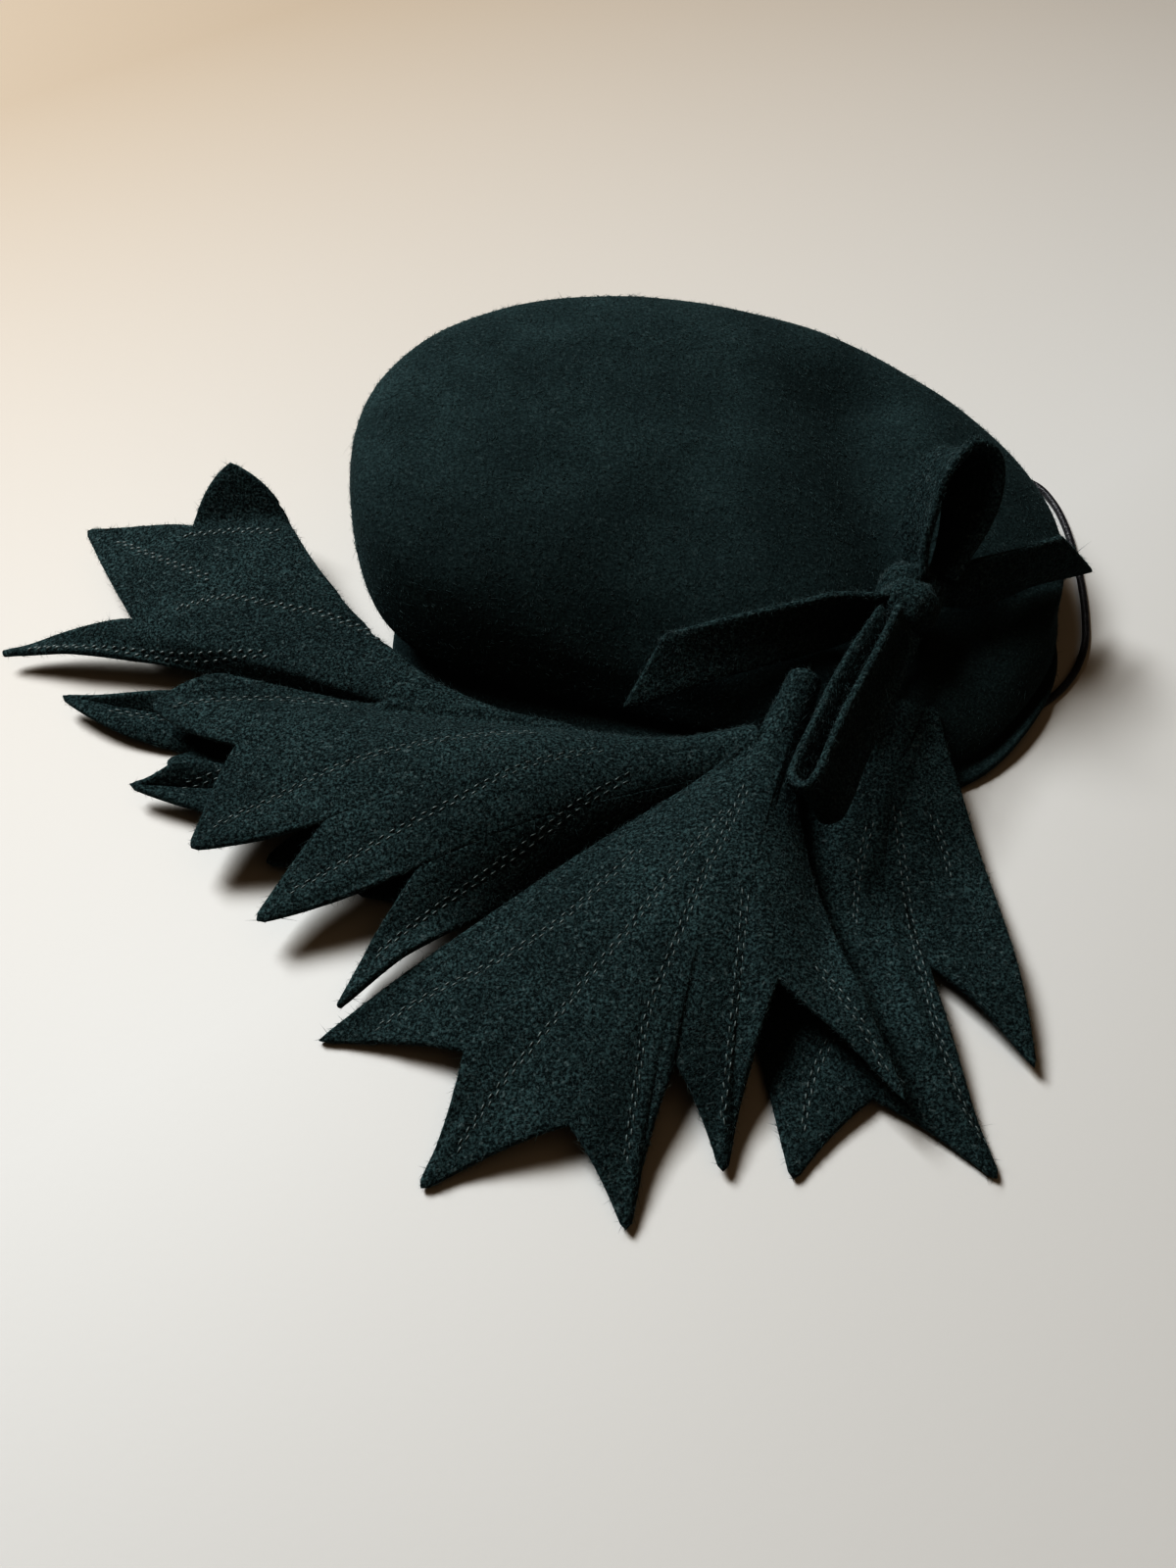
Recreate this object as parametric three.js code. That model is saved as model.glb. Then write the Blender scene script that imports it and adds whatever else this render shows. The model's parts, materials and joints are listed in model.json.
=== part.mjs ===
// A felt tilt hat: a soft round crown with a narrow flared brim, five cut-felt leaves
// laid over the front of the brim, a tied felt bow and a thin elastic loop.
// Millimetres, +Z up. The hat stands on its brim, with the leaves towards -Y.
import * as THREE from 'three';
import { mergeVertices } from 'three/addons/utils/BufferGeometryUtils.js';

// Driving dimensions
const FELT = 2;
const GAP = 0.35;
const HAT_PLACE = [58, 41, 0];
const BOW_WIDTH = 14;
const KNOT = { x: 36, y: -20, long: 9.5, wide: 8, thick: 7.5 };
const GATHER = 0.6;
const GATHER_REACH = 0.25;
const CUT_REACH = 0.3;
const CORD_DIAMETER = 2;

// Fineness of the solids
const CROWN_ROUND = 48;
const CROWN_STATIONS = 24;
const LEAF_EDGE_STEPS = 3;
const LEAF_STATIONS = 11;
const STRIP_STEPS = 36;
const KNOT_ROUND = 14;
const KNOT_RINGS = 10;
const CORD_SIDES = 8;
const CORD_STEPS = 60;
const SAME_PLACE = 1e-5;

// Shares of the crown's profile, from the brim's edge to the top: the stations that lie flat on the
// table, where a lifted brim is back in its place, and where the dents begin and reach their depth
const FLAT_STATIONS = 4;
const LIFT_REACH = 0.25;
const DENT_FROM = 0.4;
const DENT_FULL = 0.7;

// How far round a place a laid sheet looks for what is below it, and from how high
const WALL_MARGIN = 1;
const EDGE_MARGIN = 7;
const KNOT_MARGIN = 2.7;
const LOOK_ABOVE = 8;
const LOOK_FROM = 80;
const LOOK_ROUND = 8;

// Least upward share of a leaf's normal for which the felt keeps its full thickness
const STEEPEST = 0.6;

const FELT_LOOK = { color: 0x17201d, roughness: 0.95, metalness: 0 };
const CORD_LOOK = { color: 0x0d0d0e, roughness: 0.6, metalness: 0 };

// Oval sections of the crown, from the brim's edge to the top. x and y place the oval's middle,
// turn is the bearing of its long axis in degrees, and z rises by rise_x and rise_y per millimetre.
const CROWN_SECTIONS = [
  { name: 'brim_edge', x: -12, y: 11, long: 95, short: 71, turn: -14, z: 2, rise_x: 0, rise_y: 0 },
  { name: 'brim_flat', x: -12, y: 11, long: 91, short: 67, turn: -14, z: 2.3, rise_x: 0, rise_y: 0 },
  { name: 'neck', x: -12, y: 13, long: 88, short: 63, turn: -14, z: 9, rise_x: 0, rise_y: 0 },
  { name: 'side', x: -13, y: 16, long: 94.5, short: 64, turn: -10, z: 16, rise_x: 0, rise_y: 0.04 },
  { name: 'belly', x: -12, y: 21, long: 98, short: 64, turn: -5, z: 27, rise_x: -0.06, rise_y: 0.1 },
  { name: 'shoulder', x: -14, y: 24, long: 90, short: 59, turn: -5, z: 39, rise_x: -0.12, rise_y: 0.18 },
  { name: 'top_outer', x: -15, y: 25, long: 61, short: 40, turn: -5, z: 46, rise_x: -0.13, rise_y: 0.18 },
  { name: 'top_inner', x: -15, y: 25, long: 30, short: 20, turn: -5, z: 49, rise_x: -0.13, rise_y: 0.18 },
  { name: 'top', x: -15, y: 25, long: 0, short: 0, turn: -5, z: 50, rise_x: 0, rise_y: 0 },
];

// Soft troughs pressed into the top of the crown, each along a line on plan
const DENTS = [
  { name: 'valley', x0: 22, y0: 66, x1: 38, y1: -16, half_width: 15, depth: 5 },
];

// Places where the brim is lifted off the table, for the elastic to pass under it
const BRIM_LIFTS = [
  { name: 'back', bearing: 34, spread: 18, lift: 3.4 },
  { name: 'front', bearing: -31, spread: 18, lift: 3.4 },
];

// Cut-felt leaves, in the order in which they are laid. Each has a gathered stem and an outline
// of alternate tips and notches, from one side edge to the other. bend is how far the rib from the
// stem to that place bows sideways, settle how soon it comes down and swell how far the leaf arches.
const LEAVES = [
  {
    name: 'leaf_left',
    stem: { x: -34, y: -55, z: 6, half_width: 5, curl: 1 },
    settle: 0.7,
    swell: 0,
    outline: [
      { name: 'long_tip', x: -207, y: -12, z: 5, bend: 0 },
      { name: 'notch', x: -170, y: -6, z: 13, bend: -3 },
      { name: 'middle_tip', x: -191, y: 29, z: 11, bend: -6 },
      { name: 'notch', x: -158, y: 25, z: 16, bend: -10 },
      { name: 'upper_tip', x: -150, y: 45, z: 18, bend: -16 },
      { name: 'corner', x: -134, y: 29, z: 17, bend: -13 },
    ],
  },
  {
    name: 'leaf_under',
    stem: { x: -30, y: -62, z: 5, half_width: 6, curl: 1 },
    settle: 1.6,
    swell: 0,
    outline: [
      { name: 'tip', x: -97, y: -99, z: 2, bend: 0 },
      { name: 'notch', x: -88, y: -88, z: 2.5, bend: 0 },
      { name: 'tip', x: -103, y: -86, z: 2.5, bend: 0 },
      { name: 'notch', x: -98, y: -78, z: 3, bend: 0 },
      { name: 'tip', x: -126, y: -77, z: 2, bend: 0 },
      { name: 'notch', x: -118, y: -66, z: 3, bend: 0 },
      { name: 'tip', x: -164, y: -55, z: 2, bend: 0 },
      { name: 'notch', x: -146, y: -52, z: 3, bend: 0 },
      { name: 'tip', x: -156, y: -46, z: 2, bend: 0 },
    ],
  },
  {
    name: 'leaf_front_left',
    stem: { x: -4, y: -56, z: 15, half_width: 6, curl: 4 },
    settle: 1.6,
    swell: 5,
    outline: [
      { name: 'front_tip', x: -103, y: -117, z: 5, bend: 6 },
      { name: 'notch', x: -85, y: -85, z: 14, bend: 6 },
      { name: 'second_tip', x: -124, y: -98, z: 10, bend: 8 },
      { name: 'notch', x: -109, y: -74, z: 15, bend: 6 },
      { name: 'third_tip', x: -142, y: -79, z: 11, bend: 7 },
      { name: 'notch', x: -138, y: -54, z: 13, bend: 2 },
      { name: 'curled_tip', x: -188, y: -27, z: 4, bend: -4 },
      { name: 'shoulder', x: -149, y: -29, z: 15, bend: -5 },
    ],
  },
  {
    name: 'leaf_right',
    stem: { x: 39, y: -41.6, z: 15.2, half_width: 9, curl: 1 },
    settle: 2,
    swell: 0,
    outline: [
      { name: 'hidden_notch', x: -8, y: -118, z: 4, bend: 0 },
      { name: 'left_tip', x: -2, y: -156, z: 1.5, bend: 0 },
      { name: 'notch', x: 17, y: -138, z: 5, bend: -3 },
      { name: 'middle_tip', x: 42, y: -156, z: 1.5, bend: -15 },
      { name: 'notch', x: 33, y: -106, z: 9, bend: -6 },
      { name: 'right_tip', x: 54, y: -131, z: 4, bend: 0 },
    ],
  },
  {
    name: 'leaf_front',
    stem: { x: 7, y: -42, z: 30, half_width: 8, curl: 6 },
    settle: 2,
    swell: 2,
    outline: [
      { name: 'left_tip', x: -107, y: -124, z: 1.5, bend: 0 },
      { name: 'notch', x: -73, y: -129, z: 7, bend: -1 },
      { name: 'second_tip', x: -82, y: -158, z: 1.5, bend: -2 },
      { name: 'notch', x: -50, y: -146, z: 8, bend: -2 },
      { name: 'front_tip', x: -38, y: -167, z: 1.5, bend: -6 },
      { name: 'notch', x: -27, y: -132, z: 9, bend: -3 },
      { name: 'slim_tip', x: -17, y: -155, z: 2, bend: -4 },
      { name: 'notch', x: -4, y: -116, z: 12, bend: -4 },
      { name: 'right_tip', x: 22, y: -142, z: 8, bend: -6 },
    ],
  },
];

// Strips of the bow, as rows of places from the middle of the knot. wide_x, wide_y and wide_z
// give the way that the strip's width points there, and cut is the slant of a free end.
const BOW_STRIPS = [
  {
    name: 'bow_loop_upper',
    loop: true,
    cut: 0,
    path: [
      { x: -1, y: 7.5, z: 6, wide_x: 0.4, wide_y: -0.67, wide_z: 0.62 },
      { x: 1, y: 14, z: 17, wide_x: 0.4, wide_y: -0.67, wide_z: 0.62 },
      { x: 5, y: 22, z: 26, wide_x: 0.4, wide_y: -0.67, wide_z: 0.62 },
      { x: 11, y: 26, z: 29, wide_x: 0.4, wide_y: -0.67, wide_z: 0.62 },
      { x: 17, y: 23, z: 24, wide_x: 0.4, wide_y: -0.67, wide_z: 0.62 },
      { x: 16, y: 14, z: 14, wide_x: 0.4, wide_y: -0.67, wide_z: 0.62 },
      { x: 6, y: 6.5, z: 6, wide_x: 0.4, wide_y: -0.67, wide_z: 0.62 },
    ],
  },
  {
    name: 'bow_loop_lower',
    loop: true,
    cut: 0,
    path: [
      { x: -1.8, y: -10.9, z: 1, wide_x: -0.56, wide_y: 0.19, wide_z: 0.81 },
      { x: -8.7, y: -27.3, z: 0, wide_x: -0.56, wide_y: 0.19, wide_z: 0.81 },
      { x: -16.5, y: -41.5, z: -1.8, wide_x: -0.56, wide_y: 0.19, wide_z: 0.81 },
      { x: -22.6, y: -53.5, z: -3.5, wide_x: -0.56, wide_y: 0.19, wide_z: 0.81 },
      { x: -23.7, y: -54.6, z: -4, wide_x: -0.56, wide_y: 0.19, wide_z: 0.81 },
      { x: -25, y: -54.1, z: -5, wide_x: -0.56, wide_y: 0.19, wide_z: 0.81 },
      { x: -25.5, y: -52.1, z: -5.8, wide_x: -0.56, wide_y: 0.19, wide_z: 0.81 },
      { x: -25.1, y: -50, z: -6, wide_x: -0.56, wide_y: 0.19, wide_z: 0.81 },
      { x: -19.3, y: -37.5, z: -4.7, wide_x: -0.56, wide_y: 0.19, wide_z: 0.81 },
      { x: -11.7, y: -23.1, z: -3.1, wide_x: -0.56, wide_y: 0.19, wide_z: 0.81 },
      { x: -3.6, y: -9.1, z: -0.8, wide_x: -0.56, wide_y: 0.19, wide_z: 0.81 },
    ],
  },
  {
    name: 'bow_tail_left',
    loop: false,
    cut: 7,
    path: [
      { x: -8.4, y: -2, z: 0.5, wide_x: 0, wide_y: 0.3, wide_z: 1 },
      { x: -28, y: -12, z: 3, wide_x: 0, wide_y: 0.3, wide_z: 1 },
      { x: -50, y: -20, z: 1, wide_x: 0, wide_y: 0.3, wide_z: 1 },
      { x: -67, y: -26, z: -5, wide_x: 0, wide_y: 0.3, wide_z: 1 },
    ],
  },
  {
    name: 'bow_tail_right',
    loop: false,
    cut: 8,
    path: [
      { x: 8.4, y: 1, z: 0.5, wide_x: 0, wide_y: 0.4, wide_z: 1 },
      { x: 25, y: 7, z: 0, wide_x: 0, wide_y: 0.6, wide_z: 0.8 },
      { x: 38, y: 13, z: -3, wide_x: 0, wide_y: 0.8, wide_z: 0.6 },
      { x: 50, y: 17, z: -6, wide_x: 0, wide_y: 0.9, wide_z: 0.4 },
    ],
  },
];

// Route of the elastic, from its sewn end inside the back of the crown to the one inside the front
const CORD_ROUTE = [
  { x: 22, y: 63.9, z: 8.2 },
  { x: 26, y: 60.5, z: 4.5 },
  { x: 31, y: 57.3, z: 2 },
  { x: 37, y: 54, z: 1.15 },
  { x: 44, y: 51, z: 1.05 },
  { x: 52, y: 50, z: 1.05 },
  { x: 60, y: 52, z: 1.05 },
  { x: 70, y: 59, z: 1.05 },
  { x: 79, y: 63, z: 1.05 },
  { x: 87, y: 63, z: 1.05 },
  { x: 93.5, y: 59, z: 1.05 },
  { x: 97, y: 51, z: 1.05 },
  { x: 98.5, y: 40, z: 1.05 },
  { x: 98.5, y: 29, z: 1.05 },
  { x: 98, y: 18, z: 1.05 },
  { x: 96.5, y: 6, z: 1.05 },
  { x: 94, y: -5, z: 1.05 },
  { x: 89, y: -15, z: 1.05 },
  { x: 82, y: -23, z: 1.05 },
  { x: 73, y: -29, z: 1.05 },
  { x: 64, y: -31, z: 1.05 },
  { x: 56, y: -32.5, z: 1.05 },
  { x: 49, y: -35, z: 1.15 },
  { x: 43, y: -38, z: 2 },
  { x: 39, y: -39.8, z: 4.5 },
  { x: 36, y: -42.3, z: 8.2 },
];

const wave = (share) => 0.5 - 0.5 * Math.cos(Math.PI * share);
const arch = (share) => 4 * share * (1 - share);
const mix = THREE.MathUtils.lerp;
const place = (row) => new THREE.Vector3(row.x, row.y, row.z);
const DOWN = new THREE.Vector3(0, 0, -1);

function felt(name, geometry, look = FELT_LOOK) {
  const mesh = new THREE.Mesh(geometry, new THREE.MeshStandardMaterial(look));
  mesh.name = name;
  return mesh;
}

// One closed body from two like grids of points: its upper skin, its lower skin and its edges.
// A round sheet closes on itself from its last row of points to its first.
function closedSheet(upper, lower, round = false) {
  const points = [];
  const corner = (a, b, c) => {
    const sides = [a.distanceTo(b), b.distanceTo(c), c.distanceTo(a)];
    if (Math.min(...sides) > SAME_PLACE) points.push(a, b, c);
  };
  const patch = (a, b, c, d) => {
    corner(a, b, c);
    corner(a, c, d);
  };
  const rows = upper.length;
  const last = upper[0].length - 1;
  for (let i = 0; i < (round ? rows : rows - 1); i += 1) {
    const k = (i + 1) % rows;
    for (let j = 0; j < last; j += 1) {
      patch(upper[i][j], upper[k][j], upper[k][j + 1], upper[i][j + 1]);
      patch(lower[i][j], lower[i][j + 1], lower[k][j + 1], lower[k][j]);
    }
    patch(upper[k][0], upper[i][0], lower[i][0], lower[k][0]);
    if (upper[i][last].distanceTo(upper[k][last]) > SAME_PLACE) {
      patch(upper[i][last], upper[k][last], lower[k][last], lower[i][last]);
    }
  }
  for (let j = 0; j < last && !round; j += 1) {
    patch(upper[0][j], upper[0][j + 1], lower[0][j + 1], lower[0][j]);
    const end = rows - 1;
    patch(upper[end][j + 1], upper[end][j], lower[end][j], lower[end][j + 1]);
  }
  let volume = 0;
  for (let n = 0; n < points.length; n += 3) {
    volume += points[n].dot(new THREE.Vector3().crossVectors(points[n + 1], points[n + 2]));
  }
  if (volume < 0) points.reverse();
  const geometry = mergeVertices(new THREE.BufferGeometry().setFromPoints(points), SAME_PLACE);
  geometry.computeVertexNormals();
  return geometry;
}

// Normal of a grid of points at row i, station j
function gridNormal(grid, i, j, round = false) {
  const rows = grid.length;
  const before = round ? (i + rows - 1) % rows : Math.max(i - 1, 0);
  const after = round ? (i + 1) % rows : Math.min(i + 1, rows - 1);
  const across = new THREE.Vector3().subVectors(grid[after][j], grid[before][j]);
  const low = grid[i][Math.max(j - 1, 0)];
  const high = grid[i][Math.min(j + 1, grid[i].length - 1)];
  const along = new THREE.Vector3().subVectors(high, low);
  return along.cross(across).normalize();
}

function sectionPoint(section, bearing) {
  const turn = THREE.MathUtils.degToRad(section.turn);
  const u = section.long * Math.cos(bearing - turn);
  const v = section.short * Math.sin(bearing - turn);
  const dx = u * Math.cos(turn) - v * Math.sin(turn);
  const dy = u * Math.sin(turn) + v * Math.cos(turn);
  const height = section.z + section.rise_x * dx + section.rise_y * dy;
  return new THREE.Vector3(section.x + dx, section.y + dy, height);
}

function brimLift(bearing) {
  let lift = 0;
  for (const row of BRIM_LIFTS) {
    const off = THREE.MathUtils.radToDeg(bearing) - row.bearing;
    const away = THREE.MathUtils.euclideanModulo(off + 180, 360) - 180;
    lift += row.lift * Math.exp(-((away / row.spread) ** 2));
  }
  return lift;
}

function dentDepth(point) {
  let depth = 0;
  for (const dent of DENTS) {
    const line = new THREE.Vector2(dent.x1 - dent.x0, dent.y1 - dent.y0);
    const from = new THREE.Vector2(point.x - dent.x0, point.y - dent.y0);
    const share = THREE.MathUtils.clamp(from.dot(line) / line.lengthSq(), 0, 1);
    const away = from.addScaledVector(line, -share).length();
    depth += dent.depth * Math.exp(-((away / dent.half_width) ** 2));
  }
  return depth;
}

// The crown is one felt wall, hollow and open below, with the brim turned out at its foot
function crown() {
  const bearings = Array.from({ length: CROWN_ROUND }, (_, i) => (i / CROWN_ROUND) * 2 * Math.PI);
  const outside = bearings.map((turn) => CROWN_SECTIONS.map((section) => sectionPoint(section, turn)));
  const inside = outside.map((places, i) => places.map((point, k) => {
    const inward = gridNormal(outside, i, k, true);
    if (CROWN_SECTIONS[k].long === 0) inward.copy(DOWN);
    return point.clone().addScaledVector(inward, FELT);
  }));
  const skin = (sections) => sections.map((places, i) => {
    const line = new THREE.CatmullRomCurve3(places).getPoints(CROWN_STATIONS);
    line.forEach((point, j) => {
      const share = j / CROWN_STATIONS;
      const dented = THREE.MathUtils.clamp((share - DENT_FROM) / (DENT_FULL - DENT_FROM), 0, 1);
      point.z += brimLift(bearings[i]) * Math.max(0, 1 - share / LIFT_REACH);
      point.z -= dentDepth(point) * wave(dented);
    });
    return line;
  });
  const outer = skin(outside);
  const inner = skin(inside);
  inner.forEach((line, i) => line.forEach((point, j) => {
    const floor = brimLift(bearings[i]);
    if (j < FLAT_STATIONS) point.set(outer[i][j].x, outer[i][j].y, floor);
    point.z = Math.max(point.z, floor);
  }));
  return felt('crown', closedSheet(outer, inner, true));
}

// Height of the highest upward face under a place, looking down from a little above a guess
const probe = new THREE.Raycaster();
function restHeight(x, y, from, pieces) {
  probe.set(new THREE.Vector3(x, y, from), DOWN);
  const hits = probe.intersectObjects(pieces, false);
  return hits.length ? hits[0].point.z : 0;
}

// Same, over a patch around the place, so that a sheet also clears the edges of what it lies on
function clearHeight(point, pieces, margin, above) {
  let height = restHeight(point.x, point.y, point.z + above, pieces);
  for (let k = 0; k < LOOK_ROUND; k += 1) {
    const turn = (k / LOOK_ROUND) * 2 * Math.PI;
    for (const reach of [margin / 2, margin]) {
      const x = point.x + reach * Math.cos(turn);
      const y = point.y + reach * Math.sin(turn);
      height = Math.max(height, restHeight(x, y, point.z + above, pieces));
    }
  }
  return height;
}

// A leaf is a fan of felt from its stem to its outline, laid over the pieces already in place
function leaf(row, pieces) {
  const ends = [];
  const bends = [];
  for (let n = 0; n < row.outline.length - 1; n += 1) {
    const a = row.outline[n];
    const b = row.outline[n + 1];
    for (let k = 0; k < LEAF_EDGE_STEPS; k += 1) {
      const share = k / LEAF_EDGE_STEPS;
      const height = mix(a.z, b.z, wave(share));
      ends.push(new THREE.Vector3(mix(a.x, b.x, share), mix(a.y, b.y, share), height));
      bends.push(mix(a.bend, b.bend, share));
    }
  }
  ends.push(place(row.outline.at(-1)));
  bends.push(row.outline.at(-1).bend);

  const stem = place(row.stem);
  const first = ends[0].clone().sub(stem).setZ(0).normalize();
  const last = ends.at(-1).clone().sub(stem).setZ(0).normalize();
  const middle = first.clone().add(last).normalize();
  const side = new THREE.Vector3(-middle.y, middle.x, 0);
  if (side.dot(first) > 0) side.negate();

  const skin = ends.map((end, i) => {
    const across = (2 * i) / (ends.length - 1) - 1;
    const start = stem.clone().addScaledVector(side, across * row.stem.half_width);
    start.z -= row.stem.curl * across * across;
    const line = [];
    for (let j = 0; j < LEAF_STATIONS; j += 1) {
      const share = j / (LEAF_STATIONS - 1);
      const point = start.clone().lerp(end, share);
      point.addScaledVector(side, bends[i] * arch(share));
      point.z = end.z + (start.z - end.z) * (1 - share) ** row.settle;
      point.z += row.swell * arch(share) * (1 - across * across);
      line.push(point);
    }
    return line;
  });
  const [wall, ...below] = pieces;
  const least = skin.map((line) => line.map((point) => {
    const onWall = clearHeight(point, [wall], WALL_MARGIN, LOOK_ABOVE);
    return Math.max(onWall, clearHeight(point, below, EDGE_MARGIN, LOOK_ABOVE)) + GAP + FELT / 2;
  }));
  skin.forEach((line, i) => line.forEach((point, j) => {
    point.z = Math.max(point.z, least[i][j]);
  }));
  const upright = (line, i, rise) => line.map((point, j) => {
    const slope = Math.max(Math.abs(gridNormal(skin, i, j).z), STEEPEST);
    return point.clone().setZ(point.z + rise(FELT / slope));
  });
  const upper = skin.map((line, i) => upright(line, i, (thick) => thick - FELT / 2));
  const lower = skin.map((line, i) => upright(line, i, () => -FELT / 2));
  return felt(row.name, closedSheet(upper, lower));
}

// The knot is a short fat roll of felt across the middle of the bow
function knot(pieces) {
  const above = new THREE.Vector3(KNOT.x, KNOT.y, LOOK_FROM);
  const ground = clearHeight(above, pieces, KNOT_MARGIN, 0);
  const ball = new THREE.SphereGeometry(1, KNOT_ROUND, KNOT_RINGS).rotateX(Math.PI / 2);
  ball.scale(KNOT.wide, KNOT.long, KNOT.thick);
  ball.deleteAttribute('normal');
  ball.deleteAttribute('uv');
  const mesh = felt('bow_knot', mergeVertices(ball, SAME_PLACE));
  mesh.position.set(KNOT.x, KNOT.y, ground + GAP + KNOT.thick);
  return mesh;
}

// A strip of felt along a path that is given from the knot's middle. It is gathered at the knot.
function strip(row, middle) {
  const places = row.path.map((at) => place(at).add(middle));
  const widths = row.path.map((at) => new THREE.Vector3(at.wide_x, at.wide_y, at.wide_z));
  const centre = new THREE.CatmullRomCurve3(places);
  const width = new THREE.CatmullRomCurve3(widths);
  const skin = (sign) => {
    const lines = [];
    for (let n = 0; n <= STRIP_STEPS; n += 1) {
      const share = n / STRIP_STEPS;
      const along = centre.getTangent(share);
      const across = width.getPoint(share).cross(along).cross(along).negate().normalize();
      const out = across.clone().cross(along).multiplyScalar((sign * FELT) / 2);
      const point = centre.getPoint(share).add(out);
      const fromKnot = row.loop ? Math.min(share, 1 - share) : share;
      const wide = BOW_WIDTH * mix(GATHER, 1, wave(Math.min(1, fromKnot / GATHER_REACH)));
      const slant = row.cut * Math.max(0, 1 - (1 - share) / CUT_REACH);
      const edge = (side) => point.clone()
        .addScaledVector(across, (side * wide) / 2)
        .addScaledVector(along, (-side * slant) / 2);
      lines.push([edge(-1), edge(1)]);
    }
    return lines;
  };
  return felt(row.name, closedSheet(skin(1), skin(-1)));
}

function elastic() {
  const route = new THREE.CatmullRomCurve3(CORD_ROUTE.map(place));
  const section = new THREE.Shape();
  for (let n = 0; n < CORD_SIDES; n += 1) {
    const turn = ((n + 0.5) / CORD_SIDES) * 2 * Math.PI;
    const reach = CORD_DIAMETER / 2;
    section[n ? 'lineTo' : 'moveTo'](reach * Math.cos(turn), reach * Math.sin(turn));
  }
  section.closePath();
  const sweep = { steps: CORD_STEPS, extrudePath: route, bevelEnabled: false };
  const tube = new THREE.ExtrudeGeometry(section, sweep);
  tube.deleteAttribute('normal');
  tube.deleteAttribute('uv');
  return felt('elastic', mergeVertices(tube, SAME_PLACE), CORD_LOOK);
}

const hat = new THREE.Group();
hat.add(crown());
for (const row of LEAVES) {
  hat.updateMatrixWorld(true);
  hat.add(leaf(row, hat.children.slice()));
}

hat.updateMatrixWorld(true);
const middle = knot(hat.children.slice());
hat.add(middle);
for (const row of BOW_STRIPS) hat.add(strip(row, middle.position));
hat.add(elastic());
hat.position.set(...HAT_PLACE);

const part = new THREE.Group();
part.add(hat);

export default part;
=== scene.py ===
"""A felt tilt hat as it lies on a table: a soft round crown with a narrow flared brim, five cut-felt
leaves with stitched veins, a tied felt bow and a thin elastic loop."""

import json
import math
from collections import namedtuple

import bpy
import numpy as np
from bpy.props import FloatProperty, FloatVectorProperty, IntProperty, PointerProperty
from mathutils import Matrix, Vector, noise
from mathutils.bvhtree import BVHTree

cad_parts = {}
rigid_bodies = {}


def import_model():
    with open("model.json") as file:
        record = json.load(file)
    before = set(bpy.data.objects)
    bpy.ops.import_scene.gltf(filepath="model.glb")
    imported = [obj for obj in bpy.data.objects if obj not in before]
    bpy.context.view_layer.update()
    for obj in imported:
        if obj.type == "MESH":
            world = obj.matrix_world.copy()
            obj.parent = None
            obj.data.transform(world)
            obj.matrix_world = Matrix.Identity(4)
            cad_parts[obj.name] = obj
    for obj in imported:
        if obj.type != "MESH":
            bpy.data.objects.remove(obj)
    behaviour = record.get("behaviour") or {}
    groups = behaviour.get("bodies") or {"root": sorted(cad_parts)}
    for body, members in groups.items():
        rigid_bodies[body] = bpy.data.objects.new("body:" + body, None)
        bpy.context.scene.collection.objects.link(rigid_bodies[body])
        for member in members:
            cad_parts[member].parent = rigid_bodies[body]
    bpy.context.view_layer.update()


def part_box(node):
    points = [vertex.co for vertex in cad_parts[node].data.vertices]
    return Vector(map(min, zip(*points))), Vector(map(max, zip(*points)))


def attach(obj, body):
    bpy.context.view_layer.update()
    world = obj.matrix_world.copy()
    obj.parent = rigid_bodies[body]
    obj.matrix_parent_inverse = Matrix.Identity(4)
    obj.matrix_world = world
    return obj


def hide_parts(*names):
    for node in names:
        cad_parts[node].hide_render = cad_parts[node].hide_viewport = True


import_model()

bl_info = {
    "name": "Felt Tilt Hat",
    "version": (1, 0, 0),
    "blender": (4, 5, 0),
    "location": "View3D > Sidebar > Felt Hat",
    "description": "Makes a felt tilt hat with stitched leaves, a tied bow and an elastic loop",
    "category": "Object",
}

# The tables are in millimetres, from the hat's own middle, and pieces are made in metres
MM = 0.001
HAT_PLACE = np.array((58.0, 41.0, 0.0))
DOWN = Vector((0, 0, -1))

# Oval sections of the crown, from the brim's edge to the top. x and y place the oval's middle, turn is
# the bearing of its long axis in degrees, and z rises by rise_x and rise_y per millimetre.
Section = namedtuple("Section", "name x y long short turn z rise_x rise_y")
CROWN_SECTIONS = (
    Section("brim_edge", -8, 11, 91, 71, -14, 2, 0, 0),
    Section("brim_flat", -8, 11, 87, 67, -14, 2.3, 0, 0),
    Section("neck", -7.5, 13, 87, 63, -14, 8, 0, 0),
    Section("side", -11.5, 16, 95, 64, -10, 16, 0, 0.04),
    Section("belly", -12, 21, 98, 64, -5, 27, -0.06, 0.1),
    Section("shoulder", -14, 23.5, 92, 60.5, -5, 37.5, -0.12, 0.18),
    Section("top_outer", -15, 25, 63, 41.5, -5, 46, -0.13, 0.18),
    Section("top_inner", -15, 25, 30, 20, -5, 49, -0.13, 0.18),
    Section("top", -15, 25, 0, 0, -5, 50, 0, 0),
)

# Places where the lower sections are pushed out, by so many millimetres at each of them
Push = namedtuple("Push", "name bearing spread brim_edge brim_flat neck side belly shoulder")
CROWN_PUSHES = (
    Push("left", 207, 18, 11, 11, 11, 8, 4, 4),
    Push("front_left", 253, 26, -8, -9, -11, -9, -7, -5),
    Push("right", -14, 32, 3.5, 4, 6, 1, 0, 0),
    Push("front_right", -52, 16, 3.5, 3.5, 4, 1, 0, 0),
)

# Places where the upper sections are let down, by so many millimetres at each of them
Drop = namedtuple("Drop", "name bearing spread neck side belly shoulder top_outer top_inner")
CROWN_DROPS = (
    Drop("left", 208, 20, 0, -3, -6, -2, 0, 0),
    Drop("front_left", 253, 26, 3, 5.5, 8.5, 8.5, 5, 2),
)

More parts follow.
